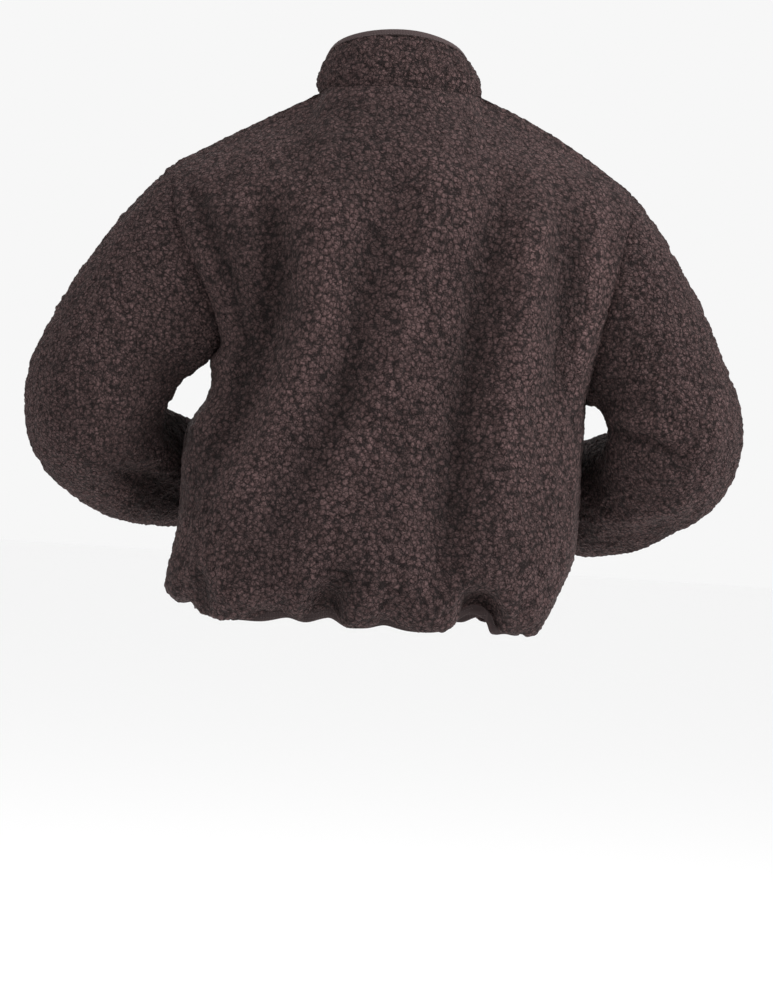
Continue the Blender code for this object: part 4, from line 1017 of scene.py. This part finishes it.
class JACKET_OT_zip(bpy.types.Operator):
    """Dress the zip: woven tapes, a row of teeth, the slider, its pull and the small parts"""
    bl_idname = "jacket.zip"
    bl_label = "Zip"

    def execute(self, context):
        trim = context.scene.jacket_trim
        weave = tape_material()
        for side in ("left", "right"):
            dress_tape(side, weave)
        metal = metal_material()
        for name in ("zip_slider", "zip_pull", "zip_box", "zip_stop_left", "zip_stop_right"):
            NODES[name].data.materials.clear()
            NODES[name].data.materials.append(metal)
        teeth = new_material("zip_teeth_resin", trim.teeth, 0.42)[0]
        row = zip_teeth(teeth)
        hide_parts("zip_chain")
        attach(row, BODY)
        return {"FINISHED"}


def row_line(node):
    """The zip row's depth at each height, as two matching lists from its foot up."""
    places = vertex_array(NODES[node].data)
    heights = np.linspace(places[:, 2].min(), places[:, 2].max(), ROW_PARTS)
    depths = []
    for height in heights:
        near = np.abs(places[:, 2] - height) < ROW_WINDOW
        depths.append(places[near, 1].mean() if near.any() else depths[-1])
    return heights, np.array(depths)


def one_tooth():
    """A moulded tooth that points along its own X, with a narrower head and soft edges."""
    start_clean()
    bpy.ops.mesh.primitive_cube_add(size=1.0, location=(0, 0, 0))
    tooth = bpy.context.object
    tooth.scale = TOOTH_SIZE
    bpy.ops.object.transform_apply(location=False, rotation=False, scale=True)

    def head(bm):
        along = [edge for edge in bm.edges if edge.calc_length() > 0.9 * TOOTH_SIZE[0]]
        bmesh.ops.subdivide_edges(bm, edges=along, cuts=2)
        for vert in bm.verts:
            if 0 < vert.co.x < TOOTH_HEAD * TOOTH_SIZE[0]:
                vert.co.z *= TOOTH_NECK

    edited(tooth, head)
    bevel = tooth.modifiers.new("Bevel", "BEVEL")
    bevel.width = TOOTH_BEVEL
    bevel.segments = 2
    apply_all(tooth)
    return tooth


def zip_teeth(material):
    """The row of teeth, each modelled once and copied along both sides, on its strip."""
    heights, depths = row_line("zip_chain")
    count = int((heights[-1] - heights[0] - 2 * ROW_START) / TOOTH_PITCH)
    matrices = []
    for k in range(2 * count):
        side = 1 if k % 2 else -1
        height = heights[0] + ROW_START + 0.5 * TOOTH_PITCH * (k + 0.5)
        depth = np.interp(height, heights, depths)
        above = np.interp(height + ROW_SLOPE, heights, depths)
        below = np.interp(height - ROW_SLOPE, heights, depths)
        turn = Matrix.Rotation(-math.atan((above - below) / (2 * ROW_SLOPE)), 4, "X")
        flip = Matrix.Rotation(math.pi if side > 0 else 0.0, 4, "Z")
        place = Matrix.Translation((side * TOOTH_OFFSET, depth, height))
        matrices.append(place @ turn @ flip)
    mesh = copied(one_tooth(), matrices, "zip_teeth_row")
    mesh.materials.append(material)
    bm = bmesh.new()
    bm.from_mesh(mesh)
    strip = bmesh.ops.create_grid(bm, x_segments=2, y_segments=ROW_PARTS, size=0.5)["verts"]
    for vert in strip:
        height = mixed(heights[0], heights[-1], vert.co.y + 0.5)
        depth = np.interp(height, heights, depths) + STRIP_BEHIND
        vert.co = (vert.co.x * STRIP_WIDTH, depth, height)
    bm.to_mesh(mesh)
    bm.free()
    return linked("zip_teeth_row", mesh)


def dress_tape(side, material):
    """One tape of the zip, cut finer and softened at its edges."""
    node = "zip_tape_" + side
    piece = welded_copy(node, node + "_weave")
    piece.data.materials.append(material)
    modifier = piece.modifiers.new("Soften", "BEVEL")
    modifier.width = TAPE_BEVEL
    modifier.segments = 2
    modifier.limit_method = "ANGLE"
    modifier.angle_limit = TAPE_SHARP
    apply_all(piece)
    piece.data.shade_smooth()
    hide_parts(node)
    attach(piece, BODY)


class JACKET_OT_studio(bpy.types.Operator):
    """Set up the camera, the lights and the pale floor"""
    bl_idname = "jacket.studio"
    bl_label = "Studio"

    def execute(self, context):
        settings = context.scene.jacket_studio
        camera = bpy.data.cameras.new("camera")
        camera.lens = CAMERA_LENS
        camera.sensor_width = SENSOR
        viewer = bpy.data.objects.new("camera", camera)
        context.scene.collection.objects.link(viewer)
        roll = math.radians(CAMERA_ROLL)
        right = Vector((-math.cos(roll), 0.0, math.sin(roll)))
        up = Vector((math.sin(roll), 0.0, math.cos(roll)))
        turned = Matrix((right, up, Vector((0.0, 1.0, 0.0)))).transposed()
        viewer.matrix_world = Matrix.Translation(CAMERA_PLACE) @ turned.to_4x4()
        context.scene.camera = viewer
        for lamp in LAMPS:
            light = bpy.data.lights.new(lamp.name, "AREA")
            light.shape = "DISK"
            light.size = lamp.size
            light.energy = getattr(settings, lamp.setting)
            holder = bpy.data.objects.new(lamp.name, light)
            context.scene.collection.objects.link(holder)
            holder.location = lamp.place
            way = Vector(LAMP_AIM) - Vector(lamp.place)
            holder.rotation_euler = way.to_track_quat("-Z", "Y").to_euler()
        surround = bpy.data.worlds.new("surround")
        surround.use_nodes = True
        sky = surround.node_tree.nodes["Background"]
        sky.inputs["Color"].default_value = (1.0, 1.0, 1.0, 1.0)
        sky.inputs["Strength"].default_value = settings.world
        context.scene.world = surround
        context.scene.view_settings.view_transform = "Standard"
        lay_floor(settings.floor)
        return {"FINISHED"}


def lay_floor(colour):
    """A wide pale floor under the jacket, rounded down at its far edges."""
    start_clean()
    bpy.ops.mesh.primitive_plane_add(size=2 * FLOOR_HALF, location=(0, 0, FLOOR_HEIGHT))
    floor = bpy.context.object
    floor.name = "floor"
    bpy.ops.object.mode_set(mode="EDIT")
    bpy.ops.mesh.select_all(action="SELECT")
    bpy.ops.mesh.extrude_region_move(TRANSFORM_OT_translate={"value": (0.0, 0.0, -2 * FLOOR_EDGE)})
    bpy.ops.mesh.select_all(action="SELECT")
    bpy.ops.mesh.normals_make_consistent(inside=False)
    bpy.ops.object.mode_set(mode="OBJECT")
    rounding = floor.modifiers.new("Rounding", "BEVEL")
    rounding.width = FLOOR_EDGE
    rounding.segments = FLOOR_SEGMENTS
    apply_all(floor)
    floor.data.materials.append(new_material("floor", colour, 0.95, shine=0.1)[0])


class JACKET_PT_panel(bpy.types.Panel):
    """The jacket's settings and steps"""
    bl_idname = "JACKET_PT_panel"
    bl_label = "Sherpa zip jacket"
    bl_space_type = "VIEW_3D"
    bl_region_type = "UI"
    bl_category = "Jacket"

    def draw(self, context):
        for group, _ in SETTINGS:
            settings = getattr(context.scene, group)
            box = self.layout.box()
            for name in settings.bl_rna.properties.keys():
                if name not in ("rna_type", "name"):
                    box.prop(settings, name)
        for operator in OPERATORS:
            self.layout.operator(operator.bl_idname)


SETTINGS = (
    ("jacket_fleece", FleeceSettings),
    ("jacket_trim", TrimSettings),
    ("jacket_studio", StudioSettings),
)
OPERATORS = (JACKET_OT_studio, JACKET_OT_fleece, JACKET_OT_bindings, JACKET_OT_zip)


def register():
    """Add the settings, the operators and the panel."""
    for name, settings in SETTINGS:
        bpy.utils.register_class(settings)
        setattr(bpy.types.Scene, name, bpy.props.PointerProperty(type=settings))
    for operator in OPERATORS:
        bpy.utils.register_class(operator)
    bpy.utils.register_class(JACKET_PT_panel)


def unregister():
    """Take them away again, in the other order."""
    bpy.utils.unregister_class(JACKET_PT_panel)
    for operator in reversed(OPERATORS):
        bpy.utils.unregister_class(operator)
    for name, settings in reversed(SETTINGS):
        delattr(bpy.types.Scene, name)
        bpy.utils.unregister_class(settings)


def main():
    """Dress the jacket."""
    start_clean()
    register()
    bpy.ops.jacket.studio()
    bpy.ops.jacket.fleece()
    bpy.ops.jacket.bindings()
    bpy.ops.jacket.zip()


if __name__ == "__main__":
    main()
